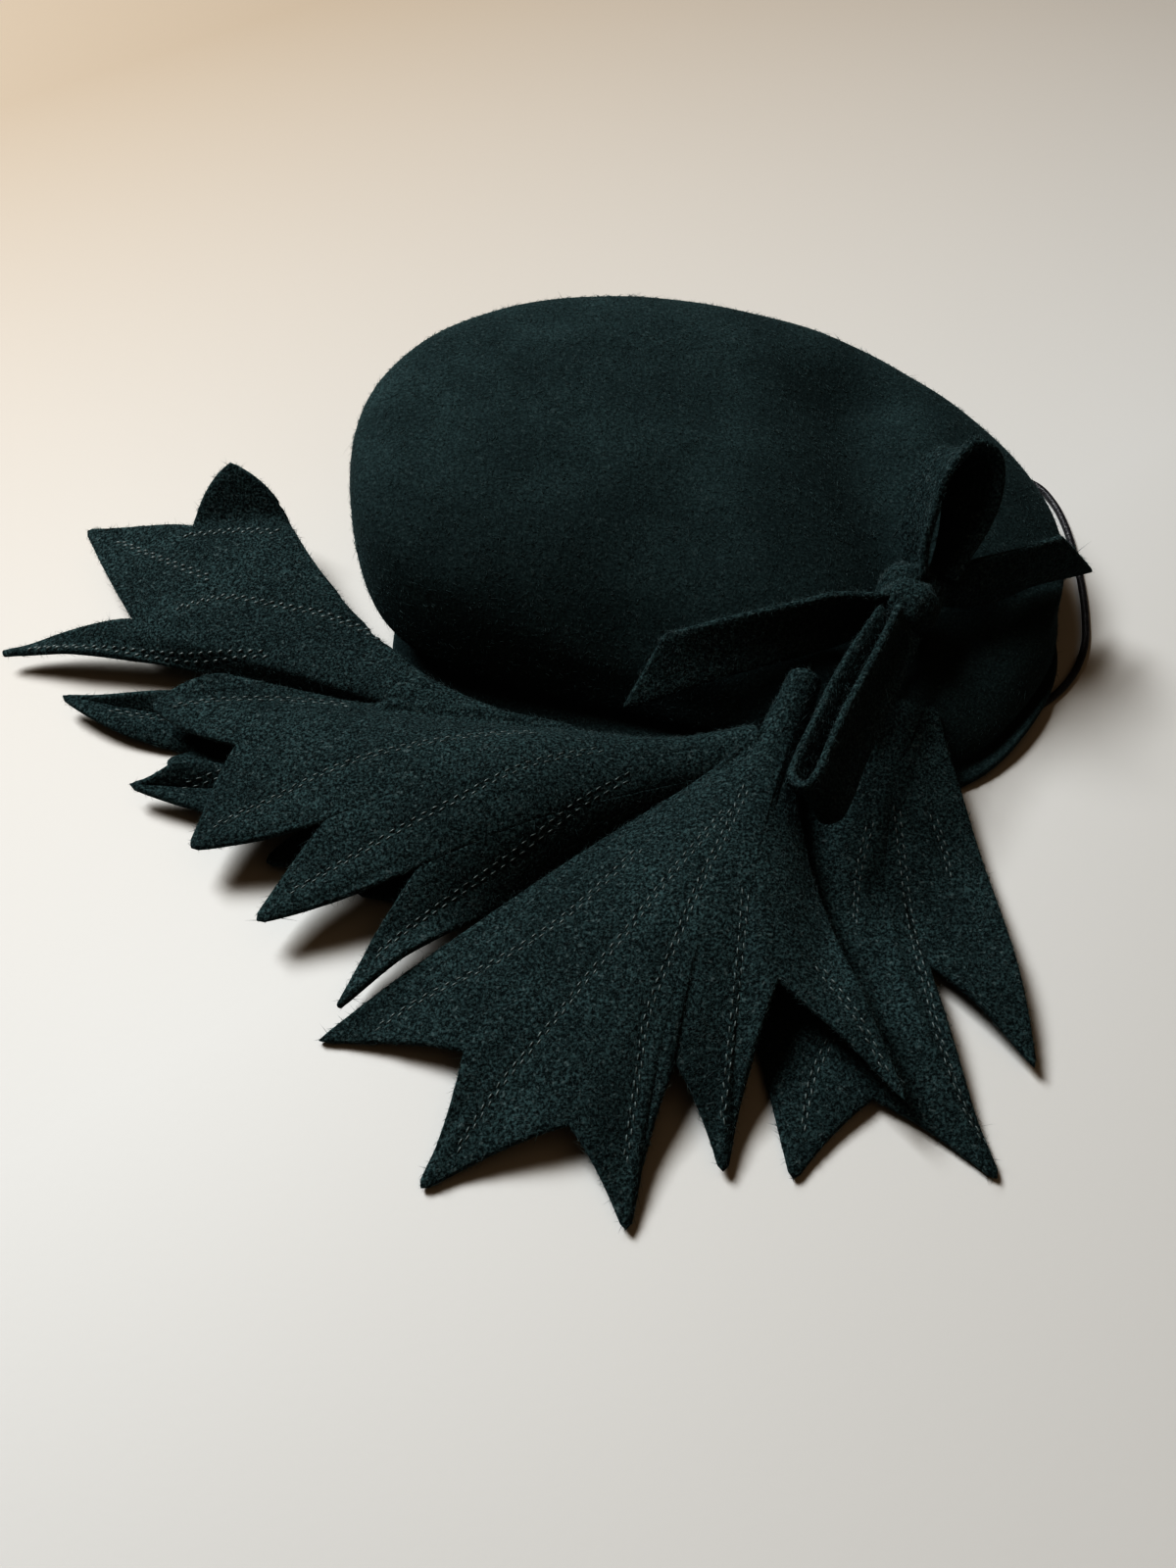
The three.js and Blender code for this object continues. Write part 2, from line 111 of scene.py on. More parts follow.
# Soft troughs pressed into the top of the crown, each along a line on plan
Trough = namedtuple("Trough", "name x0 y0 x1 y1 half_width depth")
CROWN_TROUGHS = (Trough("valley", 27, 44, 38, -16, 17, 8),)

# Places where the brim is lifted off the table, for the elastic to pass under it
Lift = namedtuple("Lift", "name bearing spread lift")
BRIM_LIFTS = (Lift("back", 34, 18, 3.4), Lift("front", -31, 18, 3.4))

# Shares of the crown's profile, from the brim's edge to the top
FLAT_REACH = 0.14
LIFT_REACH = 0.25
DENT_FROM = 0.4
DENT_FULL = 0.7

# Soft unevenness of the felt, as rows of hollows: how high they rise, how wide they are and the number
# that their places follow from
Uneven = namedtuple("Uneven", "rise size seed")
CROWN_UNEVEN = (Uneven(0.7, 34, 3.1), Uneven(0.3, 14, 8.4))
LEAF_UNEVEN = (Uneven(0.6, 30, 5.5), Uneven(0.15, 9, 1.7))

# How far cut edges bulge, the brim's and a sheet's, as a share of the thickness and of half of it
BRIM_BULGE = 0.35
SHEET_BULGE = 0.6

# A leaf is a fan of felt from its gathered stem to its outline of tips and notches. The stem is an arc,
# half_width to each side and rolled round by roll degrees, and a leaf with a collar is a tube from its
# stem to there. bend is how far a rib bows sideways, bow how far the cut edge to the next place bulges,
# settle how soon the ribs come down, swell how far the leaf arches, sag how far it hangs and droop how
# far its first and its last margin turn down. A vein is a row of places on plan, from its tip. A fold
# lifts what is to the right of its line by angle degrees. slant is the lean of the stitches in degrees,
# bold how thick they are, and flat_x and flat_y are the cut's size. The last seven columns have defaults.
LEAF_COLUMNS = "name stem settle flat_x flat_y outline veins collar swell sag droop slant bold folds"
Leaf = namedtuple("Leaf", LEAF_COLUMNS, defaults=(None, 0, 0, (0, 0), 6, 1, ()))
Stem = namedtuple("Stem", "x y z half_width roll")
Edge = namedtuple("Edge", "x y z bend bow")
Fold = namedtuple("Fold", "x0 y0 x1 y1 radius angle")
LEAVES = (
    Leaf(
        name="leaf_under",
        stem=Stem(-30, -62, 5, 6, 30),
        settle=1.6,
        sag=5,
        flat_x=160,
        flat_y=74,
        outline=(
            Edge(-97, -99, 2, 0, 0.5),
            Edge(-88, -88, 2.5, 0, 0.5),
            Edge(-103, -86, 2.5, 0, 0.5),
            Edge(-98, -78, 3, 0, 0.5),
            Edge(-126, -78, 3.5, 0, 0.5),
            Edge(-116, -66, 2, 0, 3),
            Edge(-163.5, -56.5, 6.5, 0, -1.2),
            Edge(-149.5, -51.2, 10, 0, 0.4),
            Edge(-155, -50, 6, 0, 0.5),
            Edge(-146, -42, 1.2, 0, 4),
            Edge(-187.5, -27.3, 6, 0, -0.8),
            Edge(-157, -28, 9, 0, 0),
        ),
        veins=(
            ((-149, -57), (-145, -56), (-140, -54)),
            ((-173, -32), (-166, -33.5), (-160, -34), (-152, -35)),
        ),
    ),
    Leaf(
        name="leaf_left",
        stem=Stem(-34, -52, 6, 2.5, 35),
        settle=0.7,
        sag=3,
        droop=(10, 0),
        slant=34,
        bold=1.7,
        flat_x=180,
        flat_y=76,
        outline=(
            Edge(-207, -12, 5, 7, 1.5),
            Edge(-170, -6, 13, -3, 0.5),
            Edge(-191, 29, 11, -6, 0.5),
            Edge(-158.5, 25.5, 16, -10, 2),
            Edge(-147, 43, 17, -19, 1.5),
            Edge(-133.5, 31, 17, -18, -0.5),
            Edge(-134.5, 26, 17, -17, 0),
        ),
        veins=(
            ((-199, -12), (-177, -14), (-154, -18), (-132, -20)),
            ((-158, -4), (-145, -1), (-131, -4), (-118, -7), (-104, -13), (-93, -20)),
            ((-180, 23), (-167, 15), (-151, 6)),
            ((-160, 22), (-148, 23), (-134, 22)),
        ),
        folds=(Fold(-132, 26.5, -162, 26.5, 2.5, 50),),
    ),
    Leaf(
        name="leaf_front_left",
        stem=Stem(-3.5, -50.5, 19, 4.8, 135),
        collar=Stem(-22, -54, 16, 7.5, 95),
        settle=1.6,
        swell=4,
        droop=(9, 6),
        flat_x=164,
        flat_y=94,
        outline=(
            Edge(-103, -117, 5, 2, 1),
            Edge(-85, -85, 14, 1, 1),
            Edge(-124, -98, 10, 2, 1),
            Edge(-108, -72.5, 14.5, 2, 1),
            Edge(-142.5, -78.5, 11, 2, 0.5),
            Edge(-134.5, -49.7, 14, 0, 2),
            Edge(-159.5, -36, 12.5, -1, 1.5),
            Edge(-142, -27.5, 16, -1, 0),
        ),
        veins=(
            ((-153, -37), (-141, -35.5), (-129.5, -35), (-117, -35), (-108.6, -36)),
            ((-137, -73), (-124, -67), (-109, -60), (-91, -55), (-77, -52), (-60, -49)),
            ((-116, -91), (-107, -86), (-90, -77), (-76, -70), (-60, -61), (-43, -55)),
            ((-95, -106), (-85, -97), (-73, -88), (-63, -81), (-55, -75), (-47, -69), (-36, -62)),
        ),
    ),
    Leaf(
        name="leaf_right",
        stem=Stem(35.5, -39, 14, 7.5, 25),
        settle=2,
        sag=5,
        flat_x=64,
        flat_y=120,
        outline=(
            Edge(-8, -118, 2, -14, 0),
            Edge(-2, -156, 1.5, -4, 1),
            Edge(17, -138, 3, -3, 1),
            Edge(42, -156, 1.5, -15, 1),
            Edge(33, -106, 9, -6, 1),
            Edge(54, -131, 4, 3, 0),
        ),
        veins=(
            ((18, -95), (20, -83), (24, -70)),
            ((40, -148), (37, -142), (33, -125), (32, -113), (31, -97), (31, -82), (31, -66)),
            ((42, -83), (42, -78), (40, -68)),
            ((1, -145), (4, -134), (9, -125)),
        ),
    ),
    Leaf(
        name="leaf_front",
        stem=Stem(8.5, -37.5, 28.5, 3.4, 125),
        collar=Stem(0.5, -54, 22, 4.4, 110),
        settle=2,
        swell=2,
        droop=(0, 8),
        flat_x=132,
        flat_y=128,
        outline=(
            Edge(-107, -124, 1.5, -2.5, 1),
            Edge(-73, -129, 7, -1, 1),
            Edge(-82, -158, 1.5, -2, 1),
            Edge(-50, -146, 8, -2, 1),
            Edge(-38, -167, 1.5, -6, 1),
            Edge(-27, -132, 10, -3, 1),
            Edge(-17, -155, 3, -4, 1),
            Edge(-4, -116, 17, -4, 1),
            Edge(22, -142, 12, -5, 0),
        ),
        veins=(
            ((-94, -122), (-84, -116), (-67, -108), (-51, -98), (-34, -82)),
            ((-74, -150), (-65, -137), (-54, -124), (-46, -114), (-38, -105), (-28, -92), (-13, -74)),
            ((-38, -153), (-35, -135), (-33, -124), (-26, -107), (-20, -93), (-13, -79), (-8, -68)),
            ((-17, -145), (-15, -131), (-12, -111), (-10, -96)),
            ((18, -136), (13, -125), (6, -113)),
        ),
    ),
)

# How far in from the outline a leaf's own tips and notches depart from its smooth lie, and how far in from
# its margins they droop, as powers
TIP_REACH = 4
DROOP_REACH = 3

# Length in millimetres that the surface fitted to a leaf is measured in
FIT_SCALE = 100

# How blunt the tips are cut, from 0 to 1
TIP_ROUND = 0.5

# Strips of the bow, as rows of places from the middle of the knot. gather is the share of the strip's
# width that is left at the knot, cut is the slant of a free end and the wide columns give the way that
# the strip's width points there. The knot lies off the middle of its node by KNOT_SHIFT.
KNOT_SHIFT = np.array((0, 2.6, 1.2))
LOWER_LOOP_WIDE = (-0.56, 0.19, 0.81)
Strip = namedtuple("Strip", "name loop gather cut path")
Place = namedtuple("Place", "x y z wide_x wide_y wide_z")
BOW_STRIPS = (
    Strip(
        name="bow_loop_upper",
        loop=True,
        gather=0.6,
        cut=0,
        path=(
            Place(3, 5, 4, 0.29, -0.68, 0.67),
            Place(2, 13, 15, 0.29, -0.68, 0.67),
            Place(4.5, 20, 24, 0.35, -0.64, 0.67),
            Place(10, 23.5, 27.5, 0.5, -0.56, 0.65),
            Place(14, 22, 25, 0.7, -0.45, 0.55),
            Place(13.5, 15, 15, 0.85, -0.35, 0.4),
            Place(7.5, 5, 4, 0.6, -0.5, 0.6),
        ),
    ),
    Strip(
        name="bow_loop_lower",
        loop=True,
        gather=0.85,
        cut=0,
        path=(
            Place(-2.8, -9.5, 1, *LOWER_LOOP_WIDE),
            Place(-11.7, -27.5, 0.5, *LOWER_LOOP_WIDE),
            Place(-20, -44, -1, *LOWER_LOOP_WIDE),
            Place(-26.2, -57.5, -2.7, *LOWER_LOOP_WIDE),
            Place(-27.6, -59.2, -3.4, *LOWER_LOOP_WIDE),
            Place(-29.6, -58.9, -4.6, *LOWER_LOOP_WIDE),
            Place(-30.6, -56.6, -5.6, *LOWER_LOOP_WIDE),
            Place(-30.2, -54, -6, *LOWER_LOOP_WIDE),
            Place(-23.8, -40.5, -4.7, *LOWER_LOOP_WIDE),
            Place(-15.4, -24, -3.1, *LOWER_LOOP_WIDE),
            Place(-5, -8, -0.8, *LOWER_LOOP_WIDE),
        ),
    ),
    Strip(
        name="bow_tail_left",
        loop=False,
        gather=0.6,
        cut=15,
        path=(
            Place(-6, -2, 0, 0, 0.4, 1),
            Place(-28.2, -9.5, -0.2, 0, 0.5, 1),
            Place(-50.6, -14.5, -3.2, 0, 0.7, 1),
            Place(-67.6, -18, -7.5, 0, 0.95, 1),
        ),
    ),
    Strip(
        name="bow_tail_right",
        loop=False,
        gather=0.6,
        cut=17,
        path=(
            Place(6, 1, 0.5, 0, 0.4, 1),
            Place(25, 7, 0, 0, 0.2, 1),
            Place(37, 13.5, -1.5, 0, 0.1, 1),
            Place(48, 18.5, -3.5, 0, 0.1, 1),
        ),
    ),
)

# How far from the knot a strip is gathered and how far in a slanted cut reaches, as shares of its length,
# and how far its sides cup in millimetres, in all and where it is gathered to nothing
GATHER_REACH = 0.25
CUT_REACH = 0.3
STRIP_CUP = 0.6
GATHER_CUP = 4

# The knot is fuller than its node's box, and its top is drawn in. It has a groove between two bulges, at a
# place along a way across the knot, and fine folds whose way says how close they are.
KNOT_FULL = 1.06
KNOT_TOP = 0.92
KNOT_GROOVE_WAY = (0.25, 0.95, -0.2)
KNOT_GROOVE_PLACE = 0.1
KNOT_GROOVE_DEPTH = 0.24
KNOT_GROOVE_WIDTH = 0.24
KNOT_FOLD_WAY = (5.94, -6.75, 2)
KNOT_FOLD_DEPTH = 0.03

# Route of the elastic, from its sewn end inside the back of the crown to the one inside the front
CORD_ROUTE = (
    (22, 63.9, 8.2), (26, 60.5, 4.5), (31, 57.3, 2), (37, 54, 1.15), (44, 51, 1.05), (52, 50, 1.05),
    (60, 52, 1.05), (70, 59, 1.05), (79, 63, 1.05), (87, 63, 1.05), (93.5, 59, 1.05), (97, 51, 1.05),
    (98.5, 40, 1.05), (98.5, 29, 1.05), (98, 18, 1.05), (96.5, 6, 1.05), (94, -5, 1.05),
    (89, -15, 1.05), (82, -23, 1.05), (73, -29, 1.05), (64, -31, 1.05), (56, -32.5, 1.05),
    (49, -35, 1.15), (43, -38, 2), (39, -39.8, 4.5), (36, -42.3, 8.2),
)

# The camera, in metres, degrees and millimetres
CAMERA_PLACE = (0.012, -0.1993, 0.275)
CAMERA_TILT = 34.4
CAMERA_LENS = 29.25
CAMERA_SENSOR = 36

# Soft lamps, each aimed at the hat, in metres and watts
Lamp = namedtuple("Lamp", "name x y z size power colour")
LAMPS = (
    Lamp("window", -0.62, 0.52, 1.08, 0.55, 19.6, (0.97, 0.99, 1.0)),
    Lamp("room", 0.5, -0.4, 1.7, 1.8, 2, (1.0, 0.7, 0.42)),
)
ROOM_COLOUR = (1.0, 0.74, 0.5, 1)
ROOM_STRENGTH = 0.05

# The table, in metres, a little lower than what rests on it
TABLE_REACH = 3.0
TABLE_DROP = -0.00005
# Painted shade on the table: it turns darker and warmer towards its far left corner, deepening along this
# way on plan from the first distance to the second, in metres
TABLE_SHADE_WAY = (-0.6, 0.8, 0)
TABLE_SHADE_FROM = -0.02
TABLE_SHADE_FULL = 0.4

# How rough the grain of the felt is, from 0 to 1: the crown's, pressed smooth, and that of the leaves and
# the bow, with its nap up
CROWN_NAP = 0.4
TRIM_NAP = 1.0

# Fineness of the meshes
CROWN_ROUND = 192
CROWN_STATIONS = 97
LEAF_EDGE_STEP = 2.0
LEAF_STATIONS = 56
COLLAR_STATIONS = 12
COLLAR_ROUNDS = 12
STRIP_STEPS = 120
STRIP_ACROSS = 9
KNOT_ROUND = 64
KNOT_RINGS = 40
CORD_RINGS = 260
CORD_SIDES = 12
RIM_ANGLES = (50, 0, -50)
LINE_STEP = 2.0
LENGTH_STEP = 0.5
SPAN_STEPS = 40

# How a laid sheet finds what is below it and stays clear of it, in millimetres, cells and rounds
LOOK_ABOVE = 8.0
LAY_GAP = 0.35
TABLE_GAP = 0.1
SPREAD_CELLS = 1
SMOOTH_ROUNDS = 14

# How a vein is drawn in and sewn, in millimetres. VEIN_TIP is the share of its width that is left at its
# tip, STITCH_SCATTER how uneven the lean of the stitches is and ABOVE_HAT the height that their places are
# found from. A stitch has rings, each a place along it and a size, and its ends dip by a share of its
# thickness.
VEIN_DEPTH = 0.35
VEIN_HALF_WIDTH = 1.6
VEIN_TIP = 0.55
STITCH_SIDES = 6
STITCH_RINGS = ((-0.38, 0.75), (-0.2, 1), (0.2, 1), (0.38, 0.75))
STITCH_DIP = 0.7
STITCH_RISE = 0.12
STITCH_SCATTER = 0.08
ABOVE_HAT = 90

# How many fibres stand out of each piece
FIBRES = {
    "crown": 30000,
    "leaf_left": 12000,
    "leaf_under": 4000,
    "leaf_front_left": 13000,
    "leaf_right": 9000,
    "leaf_front": 15000,
    "bow_knot": 2500,
    "bow_loop_upper": 2500,
    "bow_loop_lower": 3500,
    "bow_tail_left": 2500,
    "bow_tail_right": 2000,
}

# A fibre leans out of the felt by so much of its length, is so thick and rises a little at its tip. Faces
# that look down have fewer.
FIBRE_LEAN = (0.08, 0.55)
FIBRE_THICK = (0.05, 0.12)
FIBRE_VARY = 0.4
FIBRE_TIP_RISE = 0.1
LOOKS_DOWN = -0.3
LOOKS_DOWN_SHARE = 0.1


# Settings


class FeltHatSizes(bpy.types.PropertyGroup):
    """Sizes of the hat's felt, thread and elastic."""

    felt: FloatProperty(
        name="Felt thickness",
        description="Thickness of the crown, the leaves and the bow",
        default=0.002,
        min=0.001,
        max=0.003,
        precision=4,
        unit="LENGTH",
    )
    bow_width: FloatProperty(
        name="Bow width",
        description="Width of the strips of the bow",
        default=0.014,
        min=0.008,
        max=0.02,
        precision=4,
        unit="LENGTH",
    )
    stitch_pitch: FloatProperty(
        name="Stitch pitch",
        description="Distance from one stitch of a vein to the next",
        default=0.0028,
        min=0.0015,
        max=0.005,
        precision=4,
        unit="LENGTH",
    )
    stitch_length: FloatProperty(
        name="Stitch length",
        description="Length of thread that shows in one stitch",
        default=0.0019,
        min=0.001,
        max=0.004,
        precision=4,
        unit="LENGTH",
    )
    thread: FloatProperty(
        name="Thread thickness",
        description="Thickness of the sewing thread",
        default=0.0005,
        min=0.0002,
        max=0.001,
        precision=4,
        unit="LENGTH",
    )
    vein: FloatProperty(
        name="Vein width",
        description="Distance between the two rows of stitches of a vein, at its stem end",
        default=0.0015,
        min=0.0005,
        max=0.004,
        precision=4,
        unit="LENGTH",
    )
    cord: FloatProperty(
        name="Elastic thickness",
        description="Diameter of the round elastic",
        default=0.002,
        min=0.001,
        max=0.004,
        precision=4,
        unit="LENGTH",
    )
    fibre: FloatProperty(
        name="Fibre length",
        description="Usual length of the wool fibres that stand out of the felt",
        default=0.0014,
        min=0.0,
        max=0.005,
        precision=4,
        unit="LENGTH",
    )
    fibre_seed: IntProperty(
        name="Fibre seed",
        description="Number that the places of the fibres follow from",
        default=7,
        min=0,
    )


class FeltHatColours(bpy.types.PropertyGroup):
    """Colours of the hat and of the table under it."""

    felt_dark: FloatVectorProperty(
        name="Felt, dark",
        description="Colour of the felt between its fibres",
        default=(0.008, 0.0145, 0.0155),
        subtype="COLOR",
        min=0.0,
        max=1.0,
    )
    felt_light: FloatVectorProperty(
        name="Felt, light",
        description="Colour of the felt on its fibres",
        default=(0.064, 0.104, 0.107),
        subtype="COLOR",
        min=0.0,
        max=1.0,
    )
    fibre: FloatVectorProperty(
        name="Fibres",
        description="Colour of the fibres that stand out of the felt",
        default=(0.10, 0.13, 0.132),
        subtype="COLOR",
        min=0.0,
        max=1.0,
    )
    thread: FloatVectorProperty(
        name="Thread",
        description="Colour of the stitches",
        default=(0.12, 0.15, 0.15),
        subtype="COLOR",
        min=0.0,
        max=1.0,
    )
    cord: FloatVectorProperty(
        name="Elastic",
        description="Colour of the elastic",
        default=(0.012, 0.012, 0.014),
        subtype="COLOR",
        min=0.0,
        max=1.0,
    )
    table: FloatVectorProperty(
        name="Table",
        description="Colour of the table",
        default=(0.55, 0.55, 0.54),
        subtype="COLOR",
        min=0.0,
        max=1.0,
    )
    # Painted shade: the darker, warmer colour that the table is painted towards its far corner, standing in
    # for light falling off there
    table_far: FloatVectorProperty(
        name="Table, far corner",
        description="Colour of the table towards its far corner",
        default=(0.36, 0.305, 0.245),
        subtype="COLOR",
        min=0.0,
        max=1.0,
    )


# Shapes


def wave(share):
    """A smooth step from 0 to 1."""
    return 0.5 - 0.5 * np.cos(np.pi * np.clip(share, 0, 1))


def arch(share):
    """0 at both ends of a line and 1 at its middle."""
    return 4 * share * (1 - share)


def unit(vectors):
    """The vectors, one long."""
    return vectors / np.maximum(np.linalg.norm(vectors, axis=-1, keepdims=True), 1e-9)


def spline(places, shares):
    """Points on the smooth line through the places, at shares from 0 to 1 of its spans."""
    places = np.asarray(places, float)
    before = 2 * places[:1] - places[1:2]
    after = 2 * places[-1:] - places[-2:-1]
    row = np.concatenate([before, places, after])
    at = np.clip(shares, 0, 1) * (len(places) - 1)
    span = np.minimum(at.astype(int), len(places) - 2)
    a, b, c, d = (row[span + k] for k in range(4))
    share = (at - span).reshape(-1, *[1] * (places.ndim - 1))

    def root(p, q):
        return np.sqrt(np.maximum(np.linalg.norm(q - p, axis=-1, keepdims=True), 1e-6))

    ab, bc, cd = root(a, b), root(b, c), root(c, d)
    start = ((b - a) / ab - (c - a) / (ab + bc) + (c - b) / bc) * bc
    end = ((c - b) / bc - (d - b) / (bc + cd) + (d - c) / cd) * bc
    curve = 3 * (c - b) - 2 * start - end
    return b + share * (start + share * (curve + share * (2 * (b - c) + start + end)))


def evenly(places, step):
    """Points about one step apart along the smooth line through the places."""
    fine = spline(places, np.linspace(0, 1, SPAN_STEPS * len(places)))
    along = np.concatenate([[0], np.cumsum(np.linalg.norm(np.diff(fine, axis=0), axis=1))])
    at = np.linspace(0, along[-1], max(2, round(along[-1] / step) + 1))
    return np.stack([np.interp(at, along, fine[:, k]) for k in range(fine.shape[1])], axis=1)


def full_turn(count):
    """So many angles, evenly once round."""
    return np.linspace(0, 2 * np.pi, count, endpoint=False)


def from_span(points, a, b):
    """Distance on plan from each point to the straight line from a to b."""
    run = np.subtract(b, a, dtype=float)
    start = points[..., :2] - a
    share = np.clip(start @ run / (run @ run), 0, 1)
    return np.linalg.norm(start - share[..., None] * run, axis=-1)


def rolling(points, rows):
    """Soft unevenness at each point, the sum of the rows of hollows."""
    flat = points.reshape(-1, 3)
    total = np.zeros(points.shape[:-1])
    for row in rows:
        values = [noise.noise(Vector((p[0] / row.size, p[1] / row.size, row.seed))) for p in flat]
        total += row.rise * np.array(values).reshape(total.shape)
    return total


def grid_normal(grid):
    """Normals of a grid of points, on the side from which its rows run to the left of its columns."""
    return unit(np.cross(np.gradient(grid, axis=0), np.gradient(grid, axis=1)))


def grid_faces(rows, columns, first=0, closed=False):
    """Faces between neighbours in a grid of points. A closed grid joins its last column to its first."""
    i, j = np.meshgrid(np.arange(rows - 1), np.arange(columns if closed else columns - 1), indexing="ij")
    k = (j + 1) % columns
    quads = np.stack([i * columns + j, (i + 1) * columns + j, (i + 1) * columns + k, i * columns + k], -1)
    return quads.reshape(-1, 4) + first


def tube_faces(rings, sides, inside_out=False):
    """Faces of a tube of rings, each end closed to one of the two points that follow the rings."""
    walls = grid_faces(rings, sides, closed=True)
    n = np.arange(sides)
    k = (n + 1) % sides
    if inside_out:
        walls = walls[:, ::-1]
        n, k = k, n
    pole = 0 * n + rings * sides
    last = (rings - 1) * sides
    near = np.stack([pole, n, k], -1)
    far = np.stack([pole + 1, last + k, last + n], -1)
    return walls.tolist() + np.stack([near, far], 1).reshape(-1, 3).tolist()


def felt_sheet(middle, thickness):
    """Points and faces of a closed sheet of felt round a grid of points, with soft cut edges."""
    rows, columns = middle.shape[:2]
    number = np.arange(rows * columns).reshape(rows, columns)
    loop = np.concatenate([number[:-1, 0], number[-1, :-1], number[:0:-1, -1], number[0, :0:-1]])
    half = thickness / 2
    flat = middle.reshape(-1, 3)
    normal = grid_normal(middle).reshape(-1, 3)
    edge = flat[loop]
    ahead = unit(np.roll(edge, -1, axis=0) - np.roll(edge, 1, axis=0))
    outward = unit(np.cross(ahead, normal[loop]))
    rings = []
    for angle in np.radians(RIM_ANGLES):
        rings.append(edge + half * (np.sin(angle) * normal[loop] + SHEET_BULGE * np.cos(angle) * outward))
    count = rows * columns
    points = np.concatenate([flat + half * normal, flat - half * normal, *rings])
    faces = [grid_faces(rows, columns), grid_faces(rows, columns, count)[:, ::-1]]
    lines = [loop]
    lines += [2 * count + n * len(loop) + np.arange(len(loop)) for n in range(len(rings))]
    lines.append(count + loop)
    for above, below in zip(lines, lines[1:]):
        faces.append(np.stack([above, below, np.roll(below, -1), np.roll(above, -1)], -1))
    return points, np.concatenate(faces).tolist()


# Pieces


def add_piece(name, shape, material, parent=None):
    """A smooth mesh piece that rides on the hat or on its parent. Its shape is points, in the tables'
    millimetres, and faces."""
    points, faces = shape
    mesh = bpy.data.meshes.new(name)
    mesh.from_pydata(((points + HAT_PLACE) * MM).tolist(), [], faces)
    mesh.shade_smooth()
    mesh.materials.append(material)
    piece = bpy.data.objects.new(name, mesh)
    bpy.context.scene.collection.objects.link(piece)
    if parent:
        piece.parent = parent
    else:
        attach(piece, "root")
    return piece


def stand_for(node):
    """Name of the piece that stands for a node of the frame."""
    return node + "_felt"


def points_of(piece):
    """Points of a piece's mesh, in the tables' millimetres."""
    flat = np.empty(3 * len(piece.data.vertices))
    piece.data.vertices.foreach_get("co", flat)
    return flat.reshape(-1, 3) / MM - HAT_PLACE


def tree_of(piece):
    """Search tree of a piece's faces, in the tables' millimetres."""
    faces = [tuple(face.vertices) for face in piece.data.polygons]
    return BVHTree.FromPolygons(points_of(piece).tolist(), faces)


def resting_heights(points, trees):
    """Height of the highest face under each point, looking down from a little above it."""
    heights = np.zeros(len(points))
    for n, point in enumerate(points):
        start = Vector((point[0], point[1], point[2] + LOOK_ABOVE))
        for tree in trees:
            hit = tree.ray_cast(start, DOWN)[0]
            if hit:
                heights[n] = max(heights[n], hit.z)
    return heights


def spread_high(values, cells):
    """Each value of a grid raised to the highest within so many cells."""
    high = np.pad(values, cells, mode="edge")
    for axis in (0, 1):
        shifted = [np.roll(high, n, axis=axis) for n in range(-cells, cells + 1)]
        high = np.max(shifted, axis=0)
    return high[cells:-cells, cells:-cells]


def smoothed(values):
    """Each value of a grid brought halfway to the mean of its neighbours."""
    wide = np.pad(values, 1, mode="edge")
    near = wide[:-2, 1:-1] + wide[2:, 1:-1] + wide[1:-1, :-2] + wide[1:-1, 2:]
    return 0.5 * values + 0.125 * near


def laid_over(grid, trees, thickness):
    """The grid lifted softly where it would go into what is below it."""
    least = resting_heights(grid.reshape(-1, 3), trees).reshape(grid.shape[:2])
    least = spread_high(least, SPREAD_CELLS) + LAY_GAP + thickness / 2
    need = np.maximum(least - grid[..., 2], 0)
    lift = need
    for _ in range(SMOOTH_ROUNDS):
        lift = np.maximum(need, smoothed(lift))
    laid = grid.copy()
    laid[..., 2] += lift
    return laid


# Crown


def nearness(bearings, place):
    """1 at the bearing of a place on the crown, falling off to 0 over its spread."""
    away = (np.degrees(bearings) - place.bearing + 180) % 360 - 180
    return np.exp(-((away / place.spread) ** 2))


def crown_sections(bearings):
    """Points of the crown's oval sections at the bearings."""
    rows = []
    for oval in CROWN_SECTIONS:
        turn = math.radians(oval.turn)
        u = oval.long * np.cos(bearings - turn)
        v = oval.short * np.sin(bearings - turn)
        dx = u * math.cos(turn) - v * math.sin(turn)
        dy = u * math.sin(turn) + v * math.cos(turn)
        height = oval.z + oval.rise_x * dx + oval.rise_y * dy
        for push in CROWN_PUSHES:
            out = getattr(push, oval.name, 0) * nearness(bearings, push)
            dx, dy = dx + out * np.cos(bearings), dy + out * np.sin(bearings)
        for drop in CROWN_DROPS:
            height = height - getattr(drop, oval.name, 0) * nearness(bearings, drop)
        rows.append(np.stack([oval.x + dx, oval.y + dy, height], axis=-1))
    return np.array(rows)


def brim_lift(bearings):
    """How far the brim is off the table at the bearings."""
    return sum(row.lift * nearness(bearings, row) for row in BRIM_LIFTS)


def trough_depth(points):
    """How deep the crown's top is pressed in at the points."""
    depth = np.zeros(points.shape[:-1])
    for row in CROWN_TROUGHS:
        away = from_span(points, (row.x0, row.y0), (row.x1, row.y1))
        depth += row.depth * np.exp(-((away / row.half_width) ** 2))
    return depth


def crown_skin(sections, bearings, shares):
    """One skin of the crown through its sections, with the lifted brim, the troughs and soft dents."""
    skin = spline(sections, shares)
    share = shares[:, None]
    skin[..., 2] += brim_lift(bearings) * np.clip(1 - share / LIFT_REACH, 0, 1)
    dented = wave((share - DENT_FROM) / (DENT_FULL - DENT_FROM))
    skin[..., 2] -= trough_depth(skin) * dented
    soft = wave((share - LIFT_REACH) / (DENT_FROM - LIFT_REACH))
    skin[..., 2] += soft * rolling(skin, CROWN_UNEVEN)
    return skin


